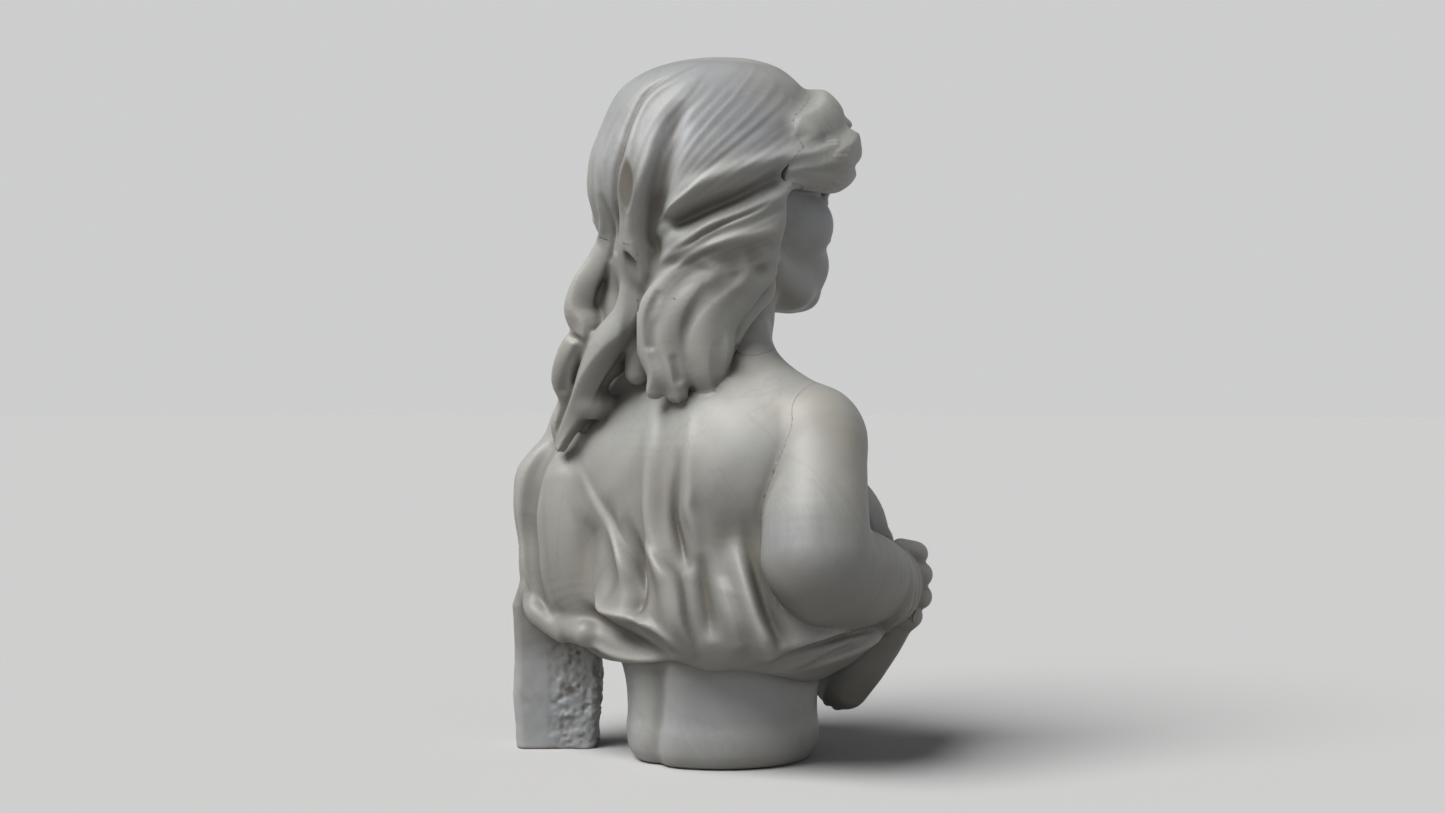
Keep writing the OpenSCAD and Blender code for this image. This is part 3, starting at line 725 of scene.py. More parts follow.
# The lower edge of the swept-back hair, behind each ear
HAIR_RIM = [
    lock([(sign * 106, 466, -1, 8), (sign * 94, 457, 2, 9), (sign * 80, 447, 4, 10), (sign * 66, 438, 4, 10),
          (sign * 52, 428, 2, 10), (sign * 42, 420, 0, 9)], [], 5, (3, 1.2, 2.0)) for sign in (1, -1)]

# Hollows between the curls, beside the furrow and under the waves
HAIR_HOLLOWS = [
    Stroke([(6, 118, 476, 3), (3, 120, 450, 7), (6, 118, 428, 8), (8, 116, 408, 8), (14, 112, 388, 6)], 6,
           cut=True),
    Stroke([(-24, 114, 430, 3), (-17, 118, 410, 4), (-16, 116, 385, 4)], 4, cut=True),
    Stroke([(-36, 104, 372, 3), (-38, 100, 355, 4)], 5, cut=True)]


def hair_field(block):
    field = SCALP.field(block)
    field = smooth_cut(field, face_opening(block), 9.0)
    for stroke in LEFT_LOCKS + OUTER_LOCK + NAPE_LOCKS + HAIR_RIM + HAIR_HOLLOWS:
        stroke.apply(block, field)
    return field


def roll_locks():
    """The puffed rolls of hair on each side of the parting, over the brow."""
    locks = []
    for sign in (1, -1):
        for rows, blend, grooves in (
                ([(95, -14, 550, 14), (91, -42, 557, 19), (84, -62, 562, 22), (64, -82, 576, 25),
                  (36, -95, 592, 23), (8, -97, 607, 19)], 9, (7, 1.6, 1.6)),
                ([(97, -6, 543, 9), (94, -36, 542, 12), (87, -64, 543, 13), (70, -85, 550, 13),
                  (50, -98, 560, 10)], 5, (4, 1.2, 1.6)),
                ([(84, -30, 580, 18), (66, -62, 600, 20), (40, -80, 612, 20), (14, -88, 618, 18)], 10,
                 (5, 1.4, 1.6))):
            locks.append(head_stroke([(sign * x, y, z, r) for x, y, z, r in rows], blend, strands=grooves))
        hollow = ((74, -92, 592, 5), (60, -106, 590, 6), (44, -116, 596, 4))
        locks.append(head_stroke([(sign * x, y, z, r) for x, y, z, r in hollow], 8, cut=True))
    return locks


# ---- Arms, hand and drapery -----------------------------------------------

RIGHT_ARM = [
    Stroke([(-108, 12, 304, 45), (-124, 13, 297, 45), (-140, 30, 258, 45), (-152, 46, 226, 47),
            (-158, 53, 200, 46)], 14),
    Stroke([(-156, 53, 198, 45), (-157, 20, 187, 43), (-148, -30, 177, 39), (-130, -78, 168, 34),
            (-122, -98, 166, 31)], 10),
    Egg((-122, 8, 300), (40, 42, 46), 14),
    Stroke([(-150, 40, 168, 30), (-148, 0, 160, 30), (-140, -40, 158, 26)], 16)]

CUFF = [
    Stroke([(-144, -52, 206, 8), (-166, -58, 182, 10), (-163, -62, 150, 11), (-138, -62, 132, 12)], 5),
    Stroke([(-133, -72, 202, 8), (-156, -78, 180, 9), (-153, -82, 148, 10), (-130, -80, 130, 11)], 4.5),
    Stroke([(-124, -88, 200, 8), (-147, -95, 180, 9), (-145, -98, 148, 10), (-122, -94, 130, 10)], 4.5)]

FIST = [
    Egg((-104, -114, 164), (32, 32, 37), 10, turn=10),
    Stroke([(-132, -104, 196, 10), (-133, -126, 191, 11), (-114, -147, 187, 11), (-92, -146, 184, 10)], 4),
    Stroke([(-135, -104, 176, 10), (-136, -128, 171, 12), (-115, -151, 167, 12), (-92, -149, 164, 11)], 4),
    Stroke([(-134, -104, 154, 10), (-135, -128, 150, 12), (-114, -151, 147, 12), (-91, -148, 145, 11)], 4),
    Stroke([(-128, -102, 135, 9), (-129, -123, 131, 11), (-110, -145, 129, 10), (-90, -143, 128, 10)], 4),
    Stroke([(-110, -102, 200, 11), (-95, -122, 203, 11), (-82, -136, 194, 10), (-76, -142, 184, 9)], 5)]

FALL = [
    Stroke([(-94, -122, 134, 32), (-74, -124, 106, 33), (-56, -126, 80, 31), (-44, -126, 60, 28)], 8,
           strands=(7, 2.4, 0.6)),
    Stroke([(-118, -112, 134, 22), (-94, -114, 104, 24), (-72, -116, 76, 23), (-60, -116, 58, 20)], 8)]

LEFT_SLEEVE = [
    Stroke([(122, 26, 314, 43), (134, 32, 300, 45), (146, 46, 270, 46), (152, 58, 240, 46),
            (149, 64, 205, 42), (144, 70, 172, 40), (134, 76, 148, 31)], 12),
    Stroke([(96, 30, 330, 30), (120, 34, 326, 34), (138, 40, 314, 36)], 14),
    Stroke([(118, 76, 256, 34), (110, 82, 210, 34), (102, 82, 165, 33), (92, 80, 136, 28)], 14),
    Stroke([(160, 70, 266, 32), (166, 74, 256, 33), (160, 78, 236, 29)], 12)]

# The middle of the draped upper arm: height, x, y, radius
SLEEVE_AXIS = np.array([(110, 120, 80, 20), (148, 134, 76, 31), (172, 144, 70, 40), (205, 149, 64, 42),
                        (240, 152, 58, 46), (270, 146, 46, 46), (300, 134, 32, 45)], dtype=float)


SLEEVE_BACK = 132          # the turn of the sleeve's outer back, in degrees from +X


def sleeve_fold(turn, rows, cut=False):
    """A fold down the sleeve, at a turn from its outer back. The rows are height,
    lean in degrees, how proud, and radius."""
    stroke = []
    for z, lean, proud, r in rows:
        x, y, around = (np.interp(z, SLEEVE_AXIS[:, 0], SLEEVE_AXIS[:, k]) for k in (1, 2, 3))
        out = around + proud + (r if cut else -r)
        a = math.radians(SLEEVE_BACK - turn - lean)
        stroke.append((x + out * math.cos(a), y + out * math.sin(a), z, r))
    return Stroke(stroke, 8, cut=cut)


def sleeve_folds():
    """Long folds of cloth from the shoulder to the elbow, wavering as they fall."""
    ridges = ((-58, 8, 0), (-18, 10, 1), (6, 8, 0), (24, 9, 1), (60, 8, 1), (98, 8, 0), (134, 8, 1))
    folds = []
    for turn, r, sway in ridges:
        s = 4 - 8 * sway
        folds.append(sleeve_fold(turn, [(300, s, -3, r), (276, 0, 1, r), (240, -s, 5, r + 1),
                                        (196, s, 6, r + 1), (164, -s, 6, r), (138, 0, 3, r - 2)]))
    for turn, deep in ((42, 4), (79, 3), (116, 4)):
        folds.append(sleeve_fold(turn, [(292, 3, 6, 8), (262, 1, 2, 10), (232, 0, -deep, 10),
                                        (205, 2, -deep - 1, 10), (170, -2, -deep, 9), (142, 0, 1, 7)],
                                 cut=True))
    return folds


SLEEVE_HEM = [
    Stroke([(168, 82, 156, 8), (154, 102, 144, 9), (142, 108, 134, 10), (126, 106, 124, 10),
            (110, 104, 116, 9)], 6),
    Stroke([(112, 98, 124, 12), (92, 102, 120, 13), (76, 106, 118, 12)], 7)]

LEFT_FOREARM = [
    Stroke([(160, 44, 206, 36), (158, 12, 200, 42), (134, -46, 192, 41), (92, -94, 188, 37)], 10),
    Stroke([(92, -94, 188, 37), (66, -116, 182, 34), (50, -124, 168, 27)], 10)]


def wrap_folds():
    """Cloth wound round the hidden left forearm."""
    folds = []
    number = 6
    for k in range(number):
        t = k / (number - 1)
        cx, cy, cz = 158 - 74 * t, 16 - 116 * t, 200 - 12 * t
        folds.append(Stroke([(cx + 34, cy - 12, cz + 14, 8), (cx + 14, cy - 26, cz + 30, 8),
                             (cx - 8, cy - 34, cz + 4, 9), (cx - 6, cy - 26, cz - 24, 9)], 8))
    return folds


STRUT_AT = (158.0, 63.0)
STRUT_TURN = math.radians(42.0)
STRUT_HALF = (43.0, 27.0)
STRUT_TOP = 170.0
STRUT_CORNER = 10.0
# The rough inner side of the strut: size of the pits, their seed and their depth
PITS = ((11.0, 1, 1.7), (5.5, 2, 1.6), (3.0, 3, 0.9))
LATTICE = 64               # random values along each axis, a power of two


def speckle(x, y, z, cell, seed):
    """Smooth random values from -1 to 1, the same wherever a block samples them."""
    table = np.random.default_rng(seed).uniform(-1, 1, (LATTICE, LATTICE, LATTICE)).astype(np.float32)
    low = [np.floor(c / cell).astype(int) for c in (x, y, z)]
    part = [(c / cell - i).astype(np.float32) for c, i in zip((x, y, z), low)]
    part = [p * p * (3 - 2 * p) for p in part]
    total = 0.0
    for corner in range(8):
        step = ((corner >> 2) & 1, (corner >> 1) & 1, corner & 1)
        weight = 1.0
        for s, p in zip(step, part):
            weight = weight * (p if s else 1 - p)
        total = total + weight * table[tuple((i + s) & (LATTICE - 1) for i, s in zip(low, step))]
    return total


def strut_field(block):
    """The upright slab under the left elbow: smooth outside, rough on the inner side."""
    x, y, z = block.points(block.whole())
    c, s = math.cos(STRUT_TURN), math.sin(STRUT_TURN)
    dx, dy = x - STRUT_AT[0], y - STRUT_AT[1]
    u, w = c * dx + s * dy, c * dy - s * dx
    waist = 1.5 * np.sin(z * 0.045 + 0.6) - 4.5 * np.clip((52 - z) / 30, 0, 1) - 0.4 * np.clip(z - 138, 0, 32)
    qu = np.abs(u) - (STRUT_HALF[0] - STRUT_CORNER + waist)
    qw = np.abs(w) - (STRUT_HALF[1] - STRUT_CORNER)
    side = np.hypot(np.maximum(qu, 0), np.maximum(qw, 0)) + np.minimum(np.maximum(qu, qw), 0) - STRUT_CORNER
    rough = np.clip((10 - u) / 16, 0, 1) * np.clip((150 - z) / 20, 0, 1)
    pits = sum(deep * speckle(x, y, z, cell, seed) for cell, seed, deep in PITS)
    side = side + rough * (1.4 + pits) + 0.25 * speckle(x, y, z, 9.0, 4)
    ends = np.maximum(z - STRUT_TOP, -z)
    return np.clip(-smooth_min(-side, -ends + 0 * side, 3.0 + 14.0 * (z > 85)), -FAR, FAR).astype(np.float32)


# ---- Waist socle ----------------------------------------------------------

SOCLE_TOP = 112.0
SOCLE = curve([(0, 78), (2, 83), (7, 87), (15, 90), (28, 91), (45, 89.5), (66, 90.5), (84, 94), (96, 97.5),
               (104, 97), (112, 95)], 4)


def socle_field(block):
    """The round foot and bare waist, with the groove of the spine and a swelling beside it."""
    x, y, z = block.points(block.whole())
    radius = np.interp(z, SOCLE[:, 0], SOCLE[:, 1]).astype(np.float32)
    turn = np.degrees(np.arctan2(-x, y)) + 5.0 - 0.09 * z
    groove = 5.0 * np.exp(-(turn / 6.5) ** 2) - 1.6 * np.exp(-((turn - 17) / 9.0) ** 2)
    side = np.hypot(x, y) - radius + groove - 1.2 * np.exp(-((turn + 18) / 9.0) ** 2)
    ends = np.maximum(z - SOCLE_TOP, -z)
    field = np.maximum(side, ends + 0 * side).astype(np.float32)
    return np.clip(field, -FAR, FAR)


# ---- The figure as a whole, and how it is divided -------------------------

def hand_finish(block):
    """Slight unevenness that a hand-worked and weathered surface has."""
    x, y, z = block.points(block.whole())
    return (0.30 * np.sin(0.11 * x + 1.3 * np.sin(0.05 * z)) * np.sin(0.09 * z + 1.1 * np.sin(0.06 * y))
            * np.sin(0.10 * y + 0.7)).astype(np.float32)


def forms(block):
    """Every mass of the figure as its own field, by name."""
    return {
        "strut": strut_field(block),
        "forearm_l": carve(block, LEFT_FOREARM + wrap_folds()),
        "sleeve": carve(block, LEFT_SLEEVE + sleeve_folds() + SLEEVE_HEM),
        "arm": carve(block, RIGHT_ARM + CUFF + FIST),
        "head": carve(block, NECK + SKULL + FACE + ear("left") + ear("right")),
        "socle": socle_field(block),
        "trunk": trunk_field(block),
        "fall": carve(block, FALL),
        "hair": hair_field(block),
        "roll": carve(block, roll_locks())}


ORDER = ["strut", "forearm_l", "sleeve", "arm", "head", "socle", "trunk", "fall", "hair", "roll"]
FILLET = {"strut": 5, "forearm_l": 8, "sleeve": 12, "arm": 6, "head": 12, "socle": 3, "fall": 7, "hair": 4,
          "roll": 16}


def whole_figure(form):
    """All the masses run together, with a soft fillet where each one joins."""
    figure = form["trunk"]
    for name in ("arm", "sleeve", "forearm_l", "head", "socle", "strut", "fall", "hair", "roll"):
        figure = smooth_min(figure, form[name], float(FILLET[name]))
    return figure


def claim(form, name, partner=None):
    """Where a mass owns the stone: inside its own core, or nearest to it. Two
    partners claim together, and a plane divides them afterwards."""
    own = form[name] if partner is None else np.minimum(form[name], form[partner])
    rank = ORDER.index(name)
    zone = None
    for other in ORDER:
        if other in (name, partner):
            continue
        nearer = 0.5 * (own - form[other])
        if ORDER.index(other) < rank:
            rule = np.maximum(nearer, -form[other])
        else:
            rule = np.minimum(nearer, own)
        zone = rule if zone is None else np.maximum(zone, rule)
    return zone


def plane(block, at, direction):
    """Negative on the side that the direction points to."""
    d = np.array(direction, dtype=float)
    d /= np.linalg.norm(d)
    x, y, z = block.points(block.whole())
    return -((x - at[0]) * d[0] + (y - at[1]) * d[1] + (z - at[2]) * d[2]).astype(np.float32)


# The cuts between neighbouring blocks: a point on each, and the way it faces
SHOULDER_R_CUT = (-112, 0, 0), (-1, 0, 0)
SHOULDER_L_CUT = (104, 0, 0), (1, 0, 0)
SLEEVE_MARGIN = 4.0
ELBOW_CUT = (-157, 20, 200), (0.05, -0.75, -0.66)
WRIST_CUT = (-122, -100, 166), (0.3, -1, 0)
FURROW_CUT = (23, 90, 440), (0.743, 0.669, 0)
LEFT_LOCK_CUT = (60, 100, 483), (0.25, 0.3, -1)
LEFT_LOCK_FRONT = (0, 40, 0), (0, 1, 0)
OUTER_LOCK_CUT = (87, 101, 440), (0.83, -0.55, 0)
OUTER_LOCK_END = (0, 0, 404), (0, 0, 1)
NAPE_LOCK_CUT = (-30, 90, 424), (0, 0.15, -1)
NAPE_LOCK_FRONT = (0, 26, 0), (0, 1, 0)


def hair_share(block, name):
    """How the one mass of hair is divided: by cuts across the necks of the locks and
    down the furrows between them."""
    left = plane(block, *FURROW_CUT)
    left_lock = np.maximum(np.maximum(left, plane(block, *LEFT_LOCK_CUT)), plane(block, *LEFT_LOCK_FRONT))
    outer = np.maximum(plane(block, *OUTER_LOCK_CUT), plane(block, *OUTER_LOCK_END))
    nape_lock = np.maximum(np.maximum(-left, plane(block, *NAPE_LOCK_CUT)), plane(block, *NAPE_LOCK_FRONT))
    return {"hair_cap": np.maximum(-left_lock, -nape_lock),
            "left_tress": np.maximum(left_lock, -outer),
            "outer_tress": np.maximum(left_lock, outer),
            "nape_tress": nape_lock}[name]


def zones(block, form, name):
    """The part of the figure that one marble piece takes."""
    beyond_elbow = plane(block, *ELBOW_CUT)
    beyond_wrist = plane(block, *WRIST_CUT)
    beyond_shoulder_r = plane(block, *SHOULDER_R_CUT)
    near_sleeve = 0.5 * (form["sleeve"] - form["trunk"]) - SLEEVE_MARGIN
    beyond_shoulder_l = np.maximum(plane(block, *SHOULDER_L_CUT), near_sleeve)
    if name == "waist_socle":
        return np.maximum(claim(form, "socle"), plane(block, (0, 0, SOCLE_TOP), (0, 0, -1)))
    if name == "torso":
        shoulder = np.maximum(np.maximum(claim(form, "arm"), -beyond_shoulder_r), -beyond_elbow)
        return np.minimum(np.maximum(claim(form, "trunk", "sleeve"), -beyond_shoulder_l), shoulder)
    if name == "right_upper_arm":
        return np.maximum(np.maximum(claim(form, "arm"), beyond_shoulder_r), -beyond_elbow)
    if name == "right_forearm":
        return np.maximum(np.maximum(claim(form, "arm"), beyond_elbow), -beyond_wrist)
    if name == "right_hand":
        return np.maximum(claim(form, "arm"), beyond_wrist)
    if name == "left_sleeve":
        return np.maximum(claim(form, "sleeve", "trunk"), beyond_shoulder_l)
    if name in ("hair_cap", "left_tress", "outer_tress", "nape_tress"):
        return np.maximum(claim(form, "hair"), hair_share(block, name))
    return claim(form, {"head": "head", "front_roll": "roll", "drapery_fall": "fall",
                        "left_forearm": "forearm_l", "side_strut": "strut"}[name])


# ---- Meshing --------------------------------------------------------------

JOINT_GAP = 0.03           # how far each block stands back from a joint


def sample(block, field, points):
    """Field values at free points, by linear interpolation."""
    p = (points - block.low) / block.step
    top = np.array(block.shape) - 2
    i = np.clip(np.floor(p).astype(int), 0, top)
    f = np.clip(p - i, 0.0, 1.0)
    value = np.zeros(len(points))
    for corner in range(8):
        step = np.array([(corner >> 2) & 1, (corner >> 1) & 1, corner & 1])
        weight = np.prod(np.where(step, f, 1 - f), axis=1)
        j = i + step
        value += weight * field[j[:, 0], j[:, 1], j[:, 2]]
    return value


def gradient(block, field, points):
    """How steeply a field changes along each axis at free points."""
    reach = 0.6 * block.step
    columns = []
    for i in range(3):
        shift = np.zeros(3)
        shift[i] = reach
        columns.append((sample(block, field, points + shift) - sample(block, field, points - shift))
                       / (2 * reach))
    return np.stack(columns, axis=1)


def sharpen(block, points, outer, joint):
    """Moves the corners of a joint face onto the true edge."""
    near = np.where((np.abs(sample(block, outer, points)) < 0.9 * block.step)
                    & (np.abs(sample(block, joint, points)) < 0.9 * block.step))[0]
    if not len(near):
        return points
    moved = points[near].copy()
    for _ in range(3):
        for field in (outer, joint):
            slope = gradient(block, field, moved)
            steep = np.maximum((slope ** 2).sum(1, keepdims=True), 0.05)
            moved -= sample(block, field, moved)[:, None] * slope / steep
    shift = moved - points[near]
    small = np.linalg.norm(shift, axis=1) < 1.2 * block.step
    points[near[small]] = moved[small]
    return points


def box_blur(field, cells):
    """A moving average along each axis."""
    out = field
    for axis in range(3):
        padded = np.concatenate([np.repeat(np.take(out, [0], axis), cells + 1, axis), out,
                                 np.repeat(np.take(out, [-1], axis), cells, axis)], axis)
        total = np.cumsum(padded, axis=axis, dtype=np.float64)
        n = out.shape[axis]
        ahead = np.take(total, np.arange(2 * cells + 1, 2 * cells + 1 + n), axis)
        behind = np.take(total, np.arange(0, n), axis)
        out = ((ahead - behind) / (2 * cells + 1)).astype(np.float32)
    return out


# Each dowel node's radius, and the play round it in its drilled hole
DOWELS = {"socle_dowels": 6.0, "neck_dowel": 6.0, "hair_pins": 3.0, "tress_pins": 3.0,
          "right_shoulder_dowel": 6.0, "right_elbow_dowel": 6.0, "right_wrist_dowel": 6.0, "fall_dowel": 3.0,
          "left_shoulder_dowel": 6.0, "left_elbow_dowel": 6.0, "strut_dowels": 6.0}
DOWEL_PLAY = 0.4
HOLE_REACH = 30.0          # how far round a dowel its hole's field is worked out


def dowel_axes(name):
    """The end points, in millimetres, of each rod in a CAD dowel node."""
    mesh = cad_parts[name].data
    points = np.array([tuple(v.co) for v in mesh.vertices]) / MM
    label = np.arange(len(points))
    edges = np.array([tuple(e.vertices) for e in mesh.edges])
    while True:
        low = np.minimum(label[edges[:, 0]], label[edges[:, 1]])
        fresh = label.copy()
        np.minimum.at(fresh, edges[:, 0], low)
        np.minimum.at(fresh, edges[:, 1], low)
        if np.array_equal(fresh, label):
            break
        label = fresh
    rods = []
    for group in np.unique(label):
        rod = points[label == group]
        centre = rod.mean(0)
        _, _, axes = np.linalg.svd(rod - centre)
        t = (rod - centre) @ axes[0]
        rods.append((centre + t.min() * axes[0], centre + t.max() * axes[0]))
    return rods


def dowel_holes(block):
    """The drilled holes: each CAD dowel's own axis and radius, with a little play."""
    holes = None
    for name, radius in DOWELS.items():
        for a, b in dowel_axes(name):
            window = block.window(np.minimum(a, b) - HOLE_REACH, np.maximum(a, b) + HOLE_REACH)
            if window is None:
                continue
            if holes is None:
                holes = np.full(block.shape, FAR, dtype=np.float32)
            x, y, z = block.points(window)
            along = b - a
            length = np.linalg.norm(along)
            along = along / length
            dx, dy, dz = x - a[0], y - a[1], z - a[2]
            t = dx * along[0] + dy * along[1] + dz * along[2]
            rx, ry, rz = dx - t * along[0], dy - t * along[1], dz - t * along[2]
            side = np.sqrt(rx * rx + ry * ry + rz * rz) - (radius + DOWEL_PLAY)
            ends = np.maximum(t - length, -t) - DOWEL_PLAY
            holes[window] = np.minimum(holes[window], np.maximum(side, ends))
    return holes


# The mounting hole up the middle of the socle
PIN_HOLE_R = 8.0
PIN_HOLE_DEPTH = 50.0
# How far past its CAD box a piece is sampled: a length, and a share of the box
BOX_PAD, BOX_SHARE = 9.0, 0.02


def mesh_piece(name, step):
    """Carves one marble piece out of the figure and returns it as an object."""
    low, high = (np.array(corner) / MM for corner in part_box(name))
    pad = BOX_PAD + BOX_SHARE * (high - low)
    low, high = low - pad, high + pad
    low[2] = max(low[2], -3 * step)
    block = Block(low, high, step)
    form = forms(block)
    figure = whole_figure(form) + hand_finish(block)
    _, _, z = block.points(block.whole())
    figure = np.maximum(figure, -z + 0 * figure)
    joint = zones(block, form, name) + JOINT_GAP
    if name == "waist_socle":
        x, y, z = block.points(block.whole())
        bore = np.maximum(np.hypot(x, y) - PIN_HOLE_R, z - PIN_HOLE_DEPTH)
        joint = np.maximum(joint, -bore)
    holes = dowel_holes(block)
    solid = np.maximum(figure, joint)
    if holes is not None:
        solid = np.maximum(solid, -holes)
    band_width = 3 * step
    grid = openvdb.FloatGrid(background=band_width)
    grid.copyFromArray(np.ascontiguousarray(np.clip(solid, -band_width, band_width)))
    vertices, quads = grid.convertToQuads(0.0)
    points = vertices.astype(float) * step + block.low
    points = sharpen(block, points, figure, joint)
    # How hollow or how proud the surface is round each point; the marble uses it to paint dirt and shade into
    # the hollows and to lighten the crests.
    small = box_blur(np.clip(figure, -9, 9), max(1, round(3.5 / step)))
    large = box_blur(np.clip(figure, -24, 24), max(1, round(12 / step)))
    cavity = sample(block, small, points) * 0.5 + sample(block, large, points) * 0.26
    return build_object(name, points, quads, cavity)


def keep_main(points, quads, values, least=0.03):
    """Drops loose crumbs that the division left behind."""
    label = np.arange(len(points))
    pairs = np.vstack([quads[:, [0, 1]], quads[:, [1, 2]], quads[:, [2, 3]], quads[:, [3, 0]]])
    while True:
        low = np.minimum(label[pairs[:, 0]], label[pairs[:, 1]])
        fresh = label.copy()
        np.minimum.at(fresh, pairs[:, 0], low)
        np.minimum.at(fresh, pairs[:, 1], low)
        fresh = fresh[fresh]
        if np.array_equal(fresh, label):
            break
        label = fresh
    groups, counts = np.unique(label, return_counts=True)
    kept = np.isin(label, groups[counts > least * counts.max()])
    renumber = np.cumsum(kept) - 1
    quads = renumber[quads[kept[quads[:, 0]]]]
    return points[kept], quads, values[kept]


SHARP_ANGLE = math.radians(62)


def build_object(name, points, quads, cavity):
    """A mesh object in metres, with how hollow the surface is kept at each point."""
    points, quads, cavity = keep_main(points, quads, cavity)
    mesh = bpy.data.meshes.new("carved_" + name)
    mesh.vertices.add(len(points))
    mesh.vertices.foreach_set("co", (points * MM).astype(np.float32).ravel())
    mesh.loops.add(4 * len(quads))
    mesh.loops.foreach_set("vertex_index", quads.astype(np.int32).ravel())
    mesh.polygons.add(len(quads))
    mesh.polygons.foreach_set("loop_start", np.arange(0, 4 * len(quads), 4, dtype=np.int32))
    mesh.update(calc_edges=True)
    mesh.validate()
    mesh.polygons.foreach_set("use_smooth", np.ones(len(mesh.polygons), dtype=bool))
    mesh.set_sharp_from_angle(angle=SHARP_ANGLE)
    layer = mesh.attributes.new("cavity", "FLOAT", "POINT")
    layer.data.foreach_set("value", cavity.astype(np.float32))
    piece = bpy.data.objects.new("carved_" + name, mesh)
    bpy.context.scene.collection.objects.link(piece)
    return piece


# ---- Materials ------------------------------------------------------------

STONE_DARK, STONE_LIGHT = (0.232, 0.235, 0.224), (0.290, 0.288, 0.274)
STONE_WARM, STONE_COOL = (0.278, 0.243, 0.194), (0.242, 0.257, 0.284)
VEIN = (0.17, 0.172, 0.175)
# Dirt and painted shade in the hollows
HOLLOW_DIRT_AND_SHADE = (0.066, 0.055, 0.039)
# Painted shade, for surfaces that face down and for the lower drapery
PAINTED_SHADE = (0.098, 0.091, 0.074)
CREST = (0.345, 0.330, 0.302)
BRONZE, VERDIGRIS = (0.30, 0.19, 0.09), (0.16, 0.20, 0.14)


def shader(name):
    material = bpy.data.materials.new(name)
    material.use_nodes = True
    nodes = material.node_tree.nodes
    return material, nodes, material.node_tree.links, nodes["Principled BSDF"]


def noise(nodes, links, coordinates, scale, detail=4.0, roughness=0.55, distortion=0.0):
    node = nodes.new("ShaderNodeTexNoise")
    node.inputs["Scale"].default_value = scale
    node.inputs["Detail"].default_value = detail
    node.inputs["Roughness"].default_value = roughness
    node.inputs["Distortion"].default_value = distortion
    links.new(coordinates, node.inputs["Vector"])
    return node.outputs["Fac"]


def spread(nodes, links, value, low, high, to_low=0.0, to_high=1.0):
    node = nodes.new("ShaderNodeMapRange")
    node.inputs["From Min"].default_value = low
    node.inputs["From Max"].default_value = high
    node.inputs["To Min"].default_value = to_low
    node.inputs["To Max"].default_value = to_high
    links.new(value, node.inputs["Value"])
    return node.outputs["Result"]


def blend_colour(nodes, links, factor, first, second, mode="MIX"):
    node = nodes.new("ShaderNodeMix")
    node.data_type = "RGBA"
    node.blend_type = mode
    links.new(factor, node.inputs["Factor"])
    for socket, colour in ((node.inputs[6], first), (node.inputs[7], second)):
        if isinstance(colour, tuple):
            socket.default_value = (*colour, 1.0)
        else:
            links.new(colour, socket)
    return node.outputs[2]


def combine(nodes, links, operation, first, second):
    node = nodes.new("ShaderNodeMath")
    node.operation = operation
    for socket, value in zip(node.inputs, (first, second)):
        if isinstance(value, (int, float)):
            socket.default_value = value
        else:
            links.new(value, socket)
    return node.outputs[0]


def add_bump(nodes, links, height, strength, distance, surface):
    node = nodes.new("ShaderNodeBump")
    node.inputs["Strength"].default_value = strength
    node.inputs["Distance"].default_value = distance
    links.new(height, node.inputs["Height"])
    links.new(node.outputs["Normal"], surface.inputs["Normal"])


